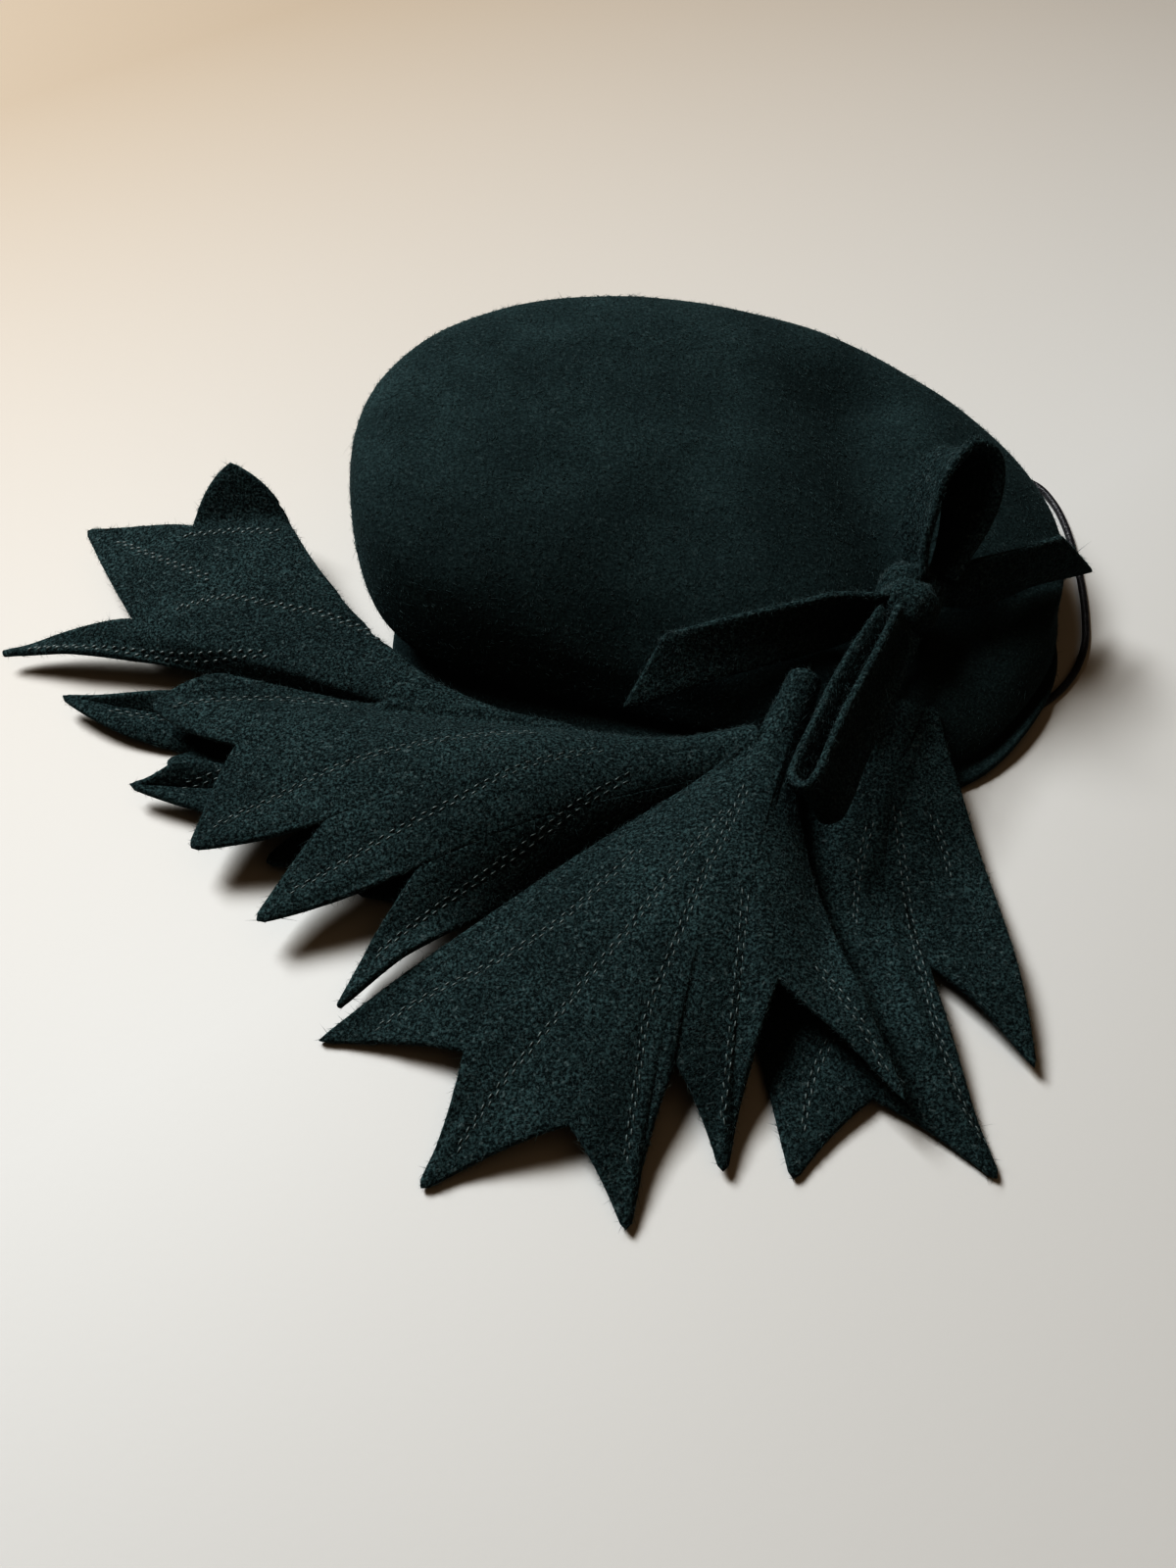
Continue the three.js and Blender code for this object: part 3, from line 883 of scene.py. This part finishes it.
def crown_mesh(thickness):
    """Points and faces of the crown's felt wall, open below, with the brim at its foot."""
    bearings = full_turn(CROWN_ROUND)
    shares = np.linspace(0, 1, CROWN_STATIONS)
    outside = crown_sections(bearings)
    across = np.roll(outside, -1, axis=1) - np.roll(outside, 1, axis=1)
    inward = unit(np.cross(np.gradient(outside, axis=0), across))
    inward[-1] = (0, 0, -1)
    outer = crown_skin(outside, bearings, shares)
    inner = crown_skin(outside + thickness * inward, bearings, shares)
    floor = brim_lift(bearings)
    flat = shares < FLAT_REACH
    inner[flat] = outer[flat]
    inner[flat, :, 2] = floor
    inner[..., 2] = np.maximum(inner[..., 2], floor)
    bulge = thickness * BRIM_BULGE * np.stack([np.cos(bearings), np.sin(bearings), 0 * bearings], -1)
    rim = 0.5 * (outer[0] + inner[0]) + bulge
    rows = [inner[-2::-1].reshape(-1, 3), rim, outer[:-1].reshape(-1, 3)]
    points = np.concatenate([*rows, inner[-1, :1], outer[-1, :1]])
    return points, tube_faces(2 * CROWN_STATIONS - 1, CROWN_ROUND, inside_out=True)


# Leaves


def leaf_outline(leaf):
    """Places along the leaf's cut edge, with the sideways bend of the rib that ends at each."""
    places = []
    for near, far in zip(leaf.outline, leaf.outline[1:]):
        run = np.array((far.x - near.x, far.y - near.y), float)
        steps = max(2, round(np.linalg.norm(run) / LEAF_EDGE_STEP))
        share = np.arange(steps) / steps
        out = near.bow * arch(share) / np.linalg.norm(run)
        height = near.z + (far.z - near.z) * wave(share)
        bend = near.bend + (far.bend - near.bend) * share
        x = near.x + run[0] * share - run[1] * out
        y = near.y + run[1] * share + run[0] * out
        places.append(np.stack([x, y, height, bend], axis=-1))
    end = leaf.outline[-1]
    places.append(np.array([[end.x, end.y, end.z, end.bend]], float))
    corners = np.cumsum([len(row) for row in places])[:-2]
    places = np.concatenate(places)
    from_stem = np.linalg.norm(places[:, :2] - leaf.stem[:2], axis=1)
    for k in corners:
        if from_stem[k] > max(from_stem[k - 1], from_stem[k + 1]):
            places[k] = TIP_ROUND * places[[k - 1, k + 1]].mean(axis=0) + (1 - TIP_ROUND) * places[k]
    return places


def bent_surface(points, places):
    """Heights at the places of the smoothly bent surface that comes nearest to the points."""
    middle = points[:, :2].mean(axis=0)

    def terms(at):
        x, y = np.moveaxis((at[..., :2] - middle) / FIT_SCALE, -1, 0)
        return np.stack([1 + 0 * x, x, y, x * x, x * y, y * y], axis=-1)

    return terms(places) @ np.linalg.lstsq(terms(points), points[:, 2], rcond=None)[0]


def rolled_arc(stem, across, side):
    """Points of a rolled stem, at places from -1 to 1 across it."""
    roll = math.radians(stem.roll)
    radius = stem.half_width / math.sin(min(roll, math.pi / 2))
    arc = np.array(stem[:3], float) + radius * np.sin(across * roll)[:, None] * side
    arc[:, 2] -= radius * (1 - np.cos(across * roll))
    return arc


def leaf_fan(leaf):
    """Grid of points of a leaf, from its rolled stem along its ribs to its outline."""
    outline = leaf_outline(leaf)
    ends, bends = outline[:, :3], outline[:, 3]
    gathered = leaf.collar or leaf.stem
    stem = np.array(gathered[:3], float)
    ways = unit((ends - stem)[[0, -1]] * (1, 1, 0))
    middle = unit(ways.sum(axis=0))
    side = np.array((-middle[1], middle[0], 0))
    side *= -np.sign(side @ ways[0])
    bearing = np.unwrap(np.arctan2(ends[:, 1] - stem[1], ends[:, 0] - stem[0]))
    across = np.clip(2 * (bearing - bearing[0]) / (bearing[-1] - bearing[0]) - 1, -1, 1)
    starts = rolled_arc(gathered, across, side)
    share = np.linspace(0, 1, LEAF_STATIONS)
    grid = starts[:, None] + (ends - starts)[:, None] * share[None, :, None]
    grid += (bends[:, None] * arch(share))[..., None] * side
    run = np.linalg.norm((grid - starts[:, None])[..., :2], axis=-1)
    usual = np.polyval(np.polyfit(across, run[:, -1], 2), across)
    reach = np.clip(run / usual[:, None], 0, 1)
    lie = bent_surface(np.concatenate([starts, ends]), grid)
    grid[..., 2] = lie + (starts[:, 2:] - lie[:, :1]) * (1 - reach) ** leaf.settle
    grid[..., 2] += (ends[:, 2:] - lie[:, -1:]) * share**TIP_REACH
    grid[..., 2] += np.sin(np.pi * reach) ** 2 * (leaf.swell * (1 - across**2) - leaf.sag)[:, None]
    turned = leaf.droop[0] * np.clip(-across, 0, 1) ** DROOP_REACH
    turned += leaf.droop[1] * np.clip(across, 0, 1) ** DROOP_REACH
    grid[..., 2] -= np.sin(np.pi * reach) * turned[:, None]
    if leaf.collar:
        share = np.arange(COLLAR_STATIONS) / COLLAR_STATIONS
        top = rolled_arc(leaf.stem, across, side)
        tube = top[:, None] + (starts - top)[:, None] * share[None, :, None]
        grid = np.concatenate([tube, grid], axis=1)
        near = slice(2, 2 * COLLAR_STATIONS)
        for _ in range(COLLAR_ROUNDS):
            grid[:, near] = (grid[:, 1 : near.stop - 1] + 2 * grid[:, near] + grid[:, 3 : near.stop + 1]) / 4
    if grid_normal(grid)[..., 2].mean() < 0:
        grid = grid[::-1]
    return grid


def from_lines(points, lines):
    """Distance on plan from each point to the nearest of the lines."""
    best = np.full(points.shape[:-1], np.inf)
    for line in lines:
        row = evenly(np.array(line, float), LINE_STEP)
        for a, b in zip(row, row[1:]):
            best = np.minimum(best, from_span(points, a, b))
    return best


def veined(grid, leaf):
    """The leaf with its veins drawn in by their stitches, and the felt soft between them."""
    away = from_lines(grid, leaf.veins)
    shaped = grid.copy()
    shaped[..., 2] -= VEIN_DEPTH * np.exp(-((away / VEIN_HALF_WIDTH) ** 2))
    shaped[..., 2] += rolling(grid, LEAF_UNEVEN)
    return shaped


def above_table(grid, thickness):
    """The grid with nothing of its sheet below the table."""
    shaped = grid.copy()
    shaped[..., 2] = np.maximum(shaped[..., 2], thickness / 2 + TABLE_GAP)
    return shaped


def folded(grid, fold):
    """The grid with what lies beyond the fold's line bent up round a soft edge."""
    start = np.array((fold.x0, fold.y0), float)
    line = unit(np.array((fold.x1 - fold.x0, fold.y1 - fold.y0), float))
    beyond = np.array((line[1], -line[0]))
    reach = np.maximum((grid[..., :2] - start) @ beyond, 0)
    bent = np.minimum(reach / fold.radius, math.radians(fold.angle))
    rest = reach - fold.radius * bent
    ahead = fold.radius * np.sin(bent) + rest * np.cos(bent)
    rise = fold.radius * (1 - np.cos(bent)) + rest * np.sin(bent)
    shaped = grid.copy()
    shaped[..., :2] += (ahead - reach)[..., None] * beyond
    shaped[..., 2] += rise
    return shaped


def stitch_shape(length, thickness):
    """Points and faces of one stitch, a short rounded thread along x with z up."""
    turn = full_turn(STITCH_SIDES)
    ring = np.stack([0 * turn, np.cos(turn), np.sin(turn)], -1) * thickness / 2
    rings = []
    for at, size in STITCH_RINGS:
        rings.append(ring * size + (at * length, 0, -abs(at) * thickness))
    dip = STITCH_DIP * thickness
    ends = np.array([(-length / 2, 0, -dip), (length / 2, 0, -dip)])
    return np.concatenate([*rings, ends]), tube_faces(len(rings), STITCH_SIDES)


def vein_stitches(leaf, tree, sizes):
    """Points and faces of all the stitches of a leaf, two rows to each vein."""
    pitch = sizes.stitch_pitch / MM
    shape, shape_faces = stitch_shape(sizes.stitch_length / MM, leaf.bold * sizes.thread / MM)
    points, faces = [], []
    random = np.random.default_rng(len(leaf.veins))
    for vein in leaf.veins:
        row = evenly(np.array(vein, float), pitch / 2)
        ahead = unit(np.gradient(row, axis=0))
        apart = np.stack([-ahead[:, 1], ahead[:, 0]], -1)
        width = sizes.vein / MM * np.linspace(VEIN_TIP, 1, len(row))
        for n in range(len(row)):
            side = 1 if n % 2 else -1
            place = row[n] + side * width[n] / 2 * apart[n]
            hit, normal, _, _ = tree.ray_cast(Vector((*place, ABOVE_HAT)), DOWN)
            if not hit:
                continue
            up = unit(np.array(normal))
            slew = math.tan(math.radians(leaf.slant)) + random.normal(0, STITCH_SCATTER)
            way = np.array((*(ahead[n] + slew * apart[n]), 0))
            way = unit(way - (way @ up) * up)
            basis = np.stack([way, np.cross(up, way), up])
            first = len(points) * len(shape)
            faces += [[corner + first for corner in face] for face in shape_faces]
            points.append(shape @ basis + np.array(hit) + STITCH_RISE * up)
    return np.concatenate(points), faces


# Bow and elastic


def knot_box():
    """Middle and half size of the knot, in the tables' millimetres."""
    low, high = np.array(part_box("bow_knot")) / MM
    return (low + high) / 2 - HAT_PLACE + KNOT_SHIFT, (high - low) / 2


def strip_grid(strip, width):
    """Grid of points of one strip of the bow, gathered at the knot."""
    rows = np.array(strip.path, float)
    share = np.linspace(0, 1, STRIP_STEPS)
    centre = spline(rows[:, :3], share) + knot_box()[0]
    along = unit(np.gradient(centre, axis=0))
    wide = spline(rows[:, 3:], share)
    wide = unit(wide - (wide * along).sum(axis=-1, keepdims=True) * along)
    out = np.cross(wide, along)
    from_knot = np.minimum(share, 1 - share) if strip.loop else share
    gathered = strip.gather + (1 - strip.gather) * wave(from_knot / GATHER_REACH)
    slant = strip.cut * np.clip(1 - (1 - share) / CUT_REACH, 0, 1)
    side = np.linspace(-1, 1, STRIP_ACROSS)[None, :, None]
    grid = centre[:, None] + side * (wide * (width * gathered / 2)[:, None])[:, None]
    grid -= side * (along * (slant / 2)[:, None])[:, None]
    cup = STRIP_CUP + (1 - gathered) * GATHER_CUP
    grid += (side**2 * out[:, None]) * cup[:, None, None]
    return grid


def strip_length(strip):
    """Length of a strip of the bow."""
    centre = evenly(np.array(strip.path, float)[:, :3], LENGTH_STEP)
    return np.linalg.norm(np.diff(centre, axis=0), axis=1).sum()


def knot_mesh():
    """Points and faces of the knot, a fat roll of felt with two soft bulges and drawn folds."""
    middle, half = knot_box()
    rise = np.linspace(0, np.pi, KNOT_RINGS)[1:-1, None]
    turn = full_turn(KNOT_ROUND)[None]
    ball = np.stack([np.sin(rise) * np.cos(turn), np.sin(rise) * np.sin(turn), np.cos(rise) + 0 * turn], -1)
    from_groove = ball @ KNOT_GROOVE_WAY + KNOT_GROOVE_PLACE
    groove = KNOT_GROOVE_DEPTH * np.exp(-((from_groove / KNOT_GROOVE_WIDTH) ** 2))
    folds = KNOT_FOLD_DEPTH * np.cos(ball @ KNOT_FOLD_WAY)
    reach = KNOT_FULL - groove * np.clip(0.5 + ball[..., 2], 0, 1) + folds
    skin = ball * reach[..., None]
    poles = np.array([(0, 0, KNOT_TOP), (0, 0, -1)])
    points = np.concatenate([skin.reshape(-1, 3), poles]) * half + middle
    return points, tube_faces(KNOT_RINGS - 2, KNOT_ROUND)


def cord_mesh(line, thickness):
    """Points and faces of the elastic round the line down its middle."""
    ahead = unit(np.gradient(line, axis=0))
    side = unit(np.cross(ahead, (0, 0, 1)))
    up = np.cross(side, ahead)
    turn = full_turn(CORD_SIDES)[None, :, None]
    rings = line[:, None] + thickness / 2 * (np.cos(turn) * side[:, None] + np.sin(turn) * up[:, None])
    points = np.concatenate([rings.reshape(-1, 3), line[:1], line[-1:]])
    return points, tube_faces(len(line), CORD_SIDES)


# Fibres


def fibre_mesh(piece, count, length, seed):
    """Points and faces of fine fibres that lean out of a piece's felt."""
    random = np.random.default_rng(seed)
    points = points_of(piece)
    piece.data.calc_loop_triangles()
    corners = np.empty(3 * len(piece.data.loop_triangles), int)
    piece.data.loop_triangles.foreach_get("vertices", corners)
    a, b, c = (points[corners.reshape(-1, 3)[:, k]] for k in range(3))
    face = np.cross(b - a, c - a)
    area = np.linalg.norm(face, axis=1)
    area *= np.where(unit(face)[:, 2] > LOOKS_DOWN, 1, LOOKS_DOWN_SHARE)
    pick = random.choice(len(area), count, p=area / area.sum())
    u, v = random.random((2, count, 1))
    u, v = np.where(u + v > 1, 1 - u, u), np.where(u + v > 1, 1 - v, v)
    root = a[pick] + u * (b - a)[pick] + v * (c - a)[pick]
    up = unit(face)[pick]
    flat = random.normal(size=(count, 3))
    flat = unit(flat - (flat * up).sum(axis=1, keepdims=True) * up)
    lean = random.uniform(*FIBRE_LEAN, (count, 1))
    way = unit(flat + lean * up)
    long = length * random.lognormal(0, FIBRE_VARY, (count, 1))
    thick = random.uniform(*FIBRE_THICK, (count, 1))
    side = np.cross(way, up)
    base = [root + thick * side / 2, root - thick * side / 2, root + thick * up]
    tip = root + long * way + FIBRE_TIP_RISE * up
    points = np.stack([*base, tip], axis=1).reshape(-1, 3)
    points[:, 2] = np.maximum(points[:, 2], 0)
    shape = np.array([(0, 1, 2), (0, 3, 1), (1, 3, 2), (2, 3, 0)])
    faces = (shape[None] + 4 * np.arange(count)[:, None, None]).reshape(-1, 3)
    return points, faces.tolist()


# Materials


class Finish:
    """A material under construction, with its nodes and the shader they lead to."""

    def __init__(self, name):
        self.material = bpy.data.materials.new(name)
        self.material.use_nodes = True
        self.tree = self.material.node_tree
        self.shader = self.tree.nodes["Principled BSDF"]
        self.place = self.node("ShaderNodeTexCoord").outputs["Object"]

    def node(self, kind, **settings):
        made = self.tree.nodes.new(kind)
        for name, value in settings.items():
            setattr(made, name, value)
        return made

    def link(self, source, socket):
        self.tree.links.new(source, socket)

    def set(self, **values):
        for name, value in values.items():
            self.shader.inputs[name.replace("_", " ")].default_value = value

    def grain(self, scale, detail=2.0, rough=0.5):
        """Noise with grains about 1 / scale metres wide."""
        made = self.node("ShaderNodeTexNoise")
        made.inputs["Scale"].default_value = scale
        made.inputs["Detail"].default_value = detail
        made.inputs["Roughness"].default_value = rough
        self.link(self.place, made.inputs["Vector"])
        return made.outputs["Fac"]

    def range(self, source, low, high, to_low=0.0, to_high=1.0):
        """The source stretched from one range to another, and held there."""
        made = self.node("ShaderNodeMapRange")
        self.link(source, made.inputs["Value"])
        values = {"From Min": low, "From Max": high, "To Min": to_low, "To Max": to_high}
        for name, value in values.items():
            made.inputs[name].default_value = value
        return made.outputs["Result"]

    def blend(self, share, first, second, kind="MIX"):
        """A colour between two, each a colour or a socket."""
        made = self.node("ShaderNodeMix", data_type="RGBA", blend_type=kind)
        self.link(share, made.inputs["Factor"])
        for socket, value in ((made.inputs[6], first), (made.inputs[7], second)):
            if isinstance(value, bpy.types.NodeSocket):
                self.link(value, socket)
            else:
                socket.default_value = (*value, 1)
        return made.outputs[2]

    def bump(self, height, strength, distance):
        """Raises the surface by the height, up to a distance in metres."""
        made = self.node("ShaderNodeBump")
        made.inputs["Strength"].default_value = strength
        made.inputs["Distance"].default_value = distance
        self.link(height, made.inputs["Height"])
        self.link(made.outputs["Normal"], self.shader.inputs["Normal"])


def finish_named(name, maker, **settings):
    """The material of that name, made once, in the colours that are set."""
    return bpy.data.materials.get(name) or maker(name, bpy.context.scene.felt_hat_colours, **settings)


def felt_finish(name, colours, nap):
    """Dense wool felt: a fine mottled grain, pale flecks and a soft sheen. nap is how rough its grain is."""
    finish = Finish(name)
    grain = finish.grain(1500, detail=3, rough=0.65)
    grain = finish.range(grain, 0.41, 0.63, 0.36 - 0.36 * nap, 0.36 + 0.64 * nap)
    colour = finish.blend(grain, colours.felt_dark, colours.felt_light)
    patch = finish.range(finish.grain(55), 0.3, 0.7, 0.0, 0.4)
    colour = finish.blend(patch, colour, colours.felt_dark)
    fleck = finish.range(finish.grain(1000, detail=1), 0.62, 0.74, 0.0, 0.75 * nap)
    colour = finish.blend(fleck, colour, colours.fibre)
    finish.link(colour, finish.shader.inputs["Base Color"])
    finish.link(finish.range(grain, 0, 1, 0.98, 0.86), finish.shader.inputs["Roughness"])
    finish.set(Specular_IOR_Level=0.12, Sheen_Weight=0.05, Sheen_Roughness=0.5)
    finish.set(Sheen_Tint=(0.5, 0.72, 0.76, 1))
    finish.bump(finish.grain(1100, detail=4, rough=0.7), 0.8 * nap, 0.0004)
    return finish.material


def fibre_finish(name, colours):
    """Single wool fibres, some paler than others."""
    finish = Finish(name)
    pale = finish.range(finish.grain(420, detail=0), 0.4, 0.72)
    colour = finish.blend(pale, colours.felt_light, colours.fibre)
    finish.link(colour, finish.shader.inputs["Base Color"])
    finish.set(Roughness=0.7, Specular_IOR_Level=0.25)
    return finish.material


def thread_finish(name, colours):
    """Sewing thread with a slight lustre."""
    finish = Finish(name)
    strand = finish.range(finish.grain(2600, detail=1), 0.3, 0.7)
    dark = tuple(0.5 * value for value in colours.thread)
    finish.link(finish.blend(strand, dark, colours.thread), finish.shader.inputs["Base Color"])
    finish.set(Roughness=0.42, Specular_IOR_Level=0.5)
    finish.bump(finish.grain(3000, detail=1), 0.4, 0.0001)
    return finish.material


def cord_finish(name, colours):
    """Braided elastic: fine crossing ridges, slightly glossy."""
    finish = Finish(name)
    braid = finish.range(finish.grain(1400, detail=1), 0.35, 0.65)
    pale = tuple(3 * value for value in colours.cord)
    finish.link(finish.blend(braid, colours.cord, pale), finish.shader.inputs["Base Color"])
    finish.set(Roughness=0.45, Specular_IOR_Level=0.5)
    finish.bump(braid, 0.5, 0.0002)
    return finish.material


def table_finish(name, colours):
    """Painted table top, matt, with a faint unevenness, and painted shade that makes it darker and warmer
    towards its far corner.
    """
    finish = Finish(name)
    shade = finish.range(finish.grain(3), 0.3, 0.7)
    dark = tuple(0.97 * value for value in colours.table)
    # Painted shade: how far along the way to the far corner each point lies, which darkens and warms the
    # table there
    across = finish.node("ShaderNodeVectorMath", operation="DOT_PRODUCT")
    finish.link(finish.place, across.inputs[0])
    across.inputs[1].default_value = TABLE_SHADE_WAY
    far = finish.range(across.outputs["Value"], TABLE_SHADE_FROM, TABLE_SHADE_FULL)
    colour = finish.blend(shade, dark, colours.table)
    finish.link(finish.blend(far, colour, colours.table_far), finish.shader.inputs["Base Color"])
    finish.set(Roughness=0.6, Specular_IOR_Level=0.3)
    finish.bump(finish.grain(500), 0.05, 0.0003)
    return finish.material


# Operators


class FELTHAT_OT_stage(bpy.types.Operator):
    """Make the camera, the lights and the table"""

    bl_idname = "felt_hat.stage"
    bl_label = "Stage"

    def execute(self, context):
        scene = context.scene
        camera = bpy.data.cameras.new("camera")
        camera.sensor_fit = "AUTO"
        camera.sensor_width = CAMERA_SENSOR
        camera.lens = CAMERA_LENS
        eye = bpy.data.objects.new("camera", camera)
        eye.location = CAMERA_PLACE
        eye.rotation_euler = (math.radians(CAMERA_TILT), 0, 0)
        scene.collection.objects.link(eye)
        scene.camera = eye

        for row in LAMPS:
            light = bpy.data.lights.new(row.name, "AREA")
            light.size = row.size
            light.energy = row.power
            light.color = row.colour
            lamp = bpy.data.objects.new(row.name, light)
            lamp.location = (row.x, row.y, row.z)
            lamp.rotation_euler = (-Vector(lamp.location)).to_track_quat("-Z", "Y").to_euler()
            scene.collection.objects.link(lamp)

        world = bpy.data.worlds.new("room")
        world.use_nodes = True
        sky = world.node_tree.nodes["Background"]
        sky.inputs["Color"].default_value = ROOM_COLOUR
        sky.inputs["Strength"].default_value = ROOM_STRENGTH
        scene.world = world
        scene.view_settings.view_transform = "Standard"
        scene.view_settings.look = "Very High Contrast"

        sides = ((-1, -1), (1, -1), (1, 1), (-1, 1))
        corners = [(x * TABLE_REACH, y * TABLE_REACH, TABLE_DROP) for x, y in sides]
        mesh = bpy.data.meshes.new("table")
        mesh.from_pydata(corners, [], [(0, 1, 2, 3)])
        mesh.materials.append(finish_named("table_top", table_finish))
        table = bpy.data.objects.new("table", mesh)
        scene.collection.objects.link(table)
        return {"FINISHED"}


class FELTHAT_OT_elastic(bpy.types.Operator):
    """Make the elastic loop that lies out at the side of the hat"""

    bl_idname = "felt_hat.elastic"
    bl_label = "Elastic"

    def execute(self, context):
        sizes = context.scene.felt_hat_sizes
        finish = finish_named("braided_elastic", cord_finish)
        line = spline(CORD_ROUTE, np.linspace(0, 1, CORD_RINGS))
        piece = add_piece("elastic_loop", cord_mesh(line, sizes.cord / MM), finish)
        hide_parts("elastic")
        return {"FINISHED"}


class FELTHAT_OT_crown(bpy.types.Operator):
    """Make the moulded crown with its brim"""

    bl_idname = "felt_hat.crown"
    bl_label = "Crown"

    def execute(self, context):
        sizes = context.scene.felt_hat_sizes
        finish = finish_named("smooth_felt", felt_finish, nap=CROWN_NAP)
        piece = add_piece(stand_for("crown"), crown_mesh(sizes.felt / MM), finish)
        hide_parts("crown")
        return {"FINISHED"}


class FELTHAT_OT_leaves(bpy.types.Operator):
    """Make the cut-felt leaves with their stitched veins, each laid over the ones before it"""

    bl_idname = "felt_hat.leaves"
    bl_label = "Leaves"

    def execute(self, context):
        sizes = context.scene.felt_hat_sizes
        thickness = sizes.felt / MM
        felt = finish_named("napped_felt", felt_finish, nap=TRIM_NAP)
        thread = finish_named("sewing_thread", thread_finish)
        below = [bpy.data.objects[stand_for("crown")]]
        for leaf in LEAVES:
            fan = leaf_fan(leaf)
            grid = laid_over(fan, [tree_of(piece) for piece in below], thickness)
            grid = veined(grid, leaf)
            for fold in leaf.folds:
                grid = folded(grid, fold)
            sheet = felt_sheet(above_table(grid, thickness), thickness)
            piece = add_piece(stand_for(leaf.name), sheet, felt)
            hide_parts(leaf.name)
            stitches = vein_stitches(leaf, tree_of(piece), sizes)
            add_piece(leaf.name + "_stitching", stitches, thread, parent=piece)
            below.append(piece)
        return {"FINISHED"}


class FELTHAT_OT_bow(bpy.types.Operator):
    """Make the knot, loops and tails of the tied bow"""

    bl_idname = "felt_hat.bow"
    bl_label = "Bow"

    def execute(self, context):
        sizes = context.scene.felt_hat_sizes
        felt = finish_named("napped_felt", felt_finish, nap=TRIM_NAP)
        knot = add_piece(stand_for("bow_knot"), knot_mesh(), felt)
        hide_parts("bow_knot")
        for strip in BOW_STRIPS:
            sheet = felt_sheet(strip_grid(strip, sizes.bow_width / MM), sizes.felt / MM)
            piece = add_piece(stand_for(strip.name), sheet, felt)
            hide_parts(strip.name)
            cut = (sizes.bow_width, strip_length(strip) * MM)
        return {"FINISHED"}


class FELTHAT_OT_fibres(bpy.types.Operator):
    """Make the fine wool fibres that stand out of every piece of felt"""

    bl_idname = "felt_hat.fibres"
    bl_label = "Fibres"

    def execute(self, context):
        sizes = context.scene.felt_hat_sizes
        finish = finish_named("wool_fibres", fibre_finish)
        for number, (node, count) in enumerate(FIBRES.items()):
            piece = bpy.data.objects[stand_for(node)]
            fibres = fibre_mesh(piece, count, sizes.fibre / MM, sizes.fibre_seed + number)
            add_piece(node + "_fibres", fibres, finish, parent=piece)
        return {"FINISHED"}


class FELTHAT_PT_panel(bpy.types.Panel):
    """Sizes and colours of the felt hat, and the buttons that make it"""

    bl_idname = "FELTHAT_PT_panel"
    bl_label = "Felt Hat"
    bl_space_type = "VIEW_3D"
    bl_region_type = "UI"
    bl_category = "Felt Hat"

    def draw(self, context):
        column = self.layout.column()
        for group in (context.scene.felt_hat_sizes, context.scene.felt_hat_colours):
            for name in group.__annotations__:
                column.prop(group, name)
        for operator in OPERATORS:
            column.operator(operator.bl_idname)


OPERATORS = (
    FELTHAT_OT_stage,
    FELTHAT_OT_elastic,
    FELTHAT_OT_crown,
    FELTHAT_OT_leaves,
    FELTHAT_OT_bow,
    FELTHAT_OT_fibres,
)
CLASSES = (FeltHatSizes, FeltHatColours, *OPERATORS, FELTHAT_PT_panel)


def register():
    for cls in CLASSES:
        bpy.utils.register_class(cls)
    bpy.types.Scene.felt_hat_sizes = PointerProperty(type=FeltHatSizes)
    bpy.types.Scene.felt_hat_colours = PointerProperty(type=FeltHatColours)


def unregister():
    del bpy.types.Scene.felt_hat_colours
    del bpy.types.Scene.felt_hat_sizes
    for cls in reversed(CLASSES):
        bpy.utils.unregister_class(cls)


def main():
    register()
    bpy.ops.felt_hat.stage()
    bpy.ops.felt_hat.elastic()
    bpy.ops.felt_hat.crown()
    bpy.ops.felt_hat.leaves()
    bpy.ops.felt_hat.bow()
    bpy.ops.felt_hat.fibres()


if __name__ == "__main__":
    main()
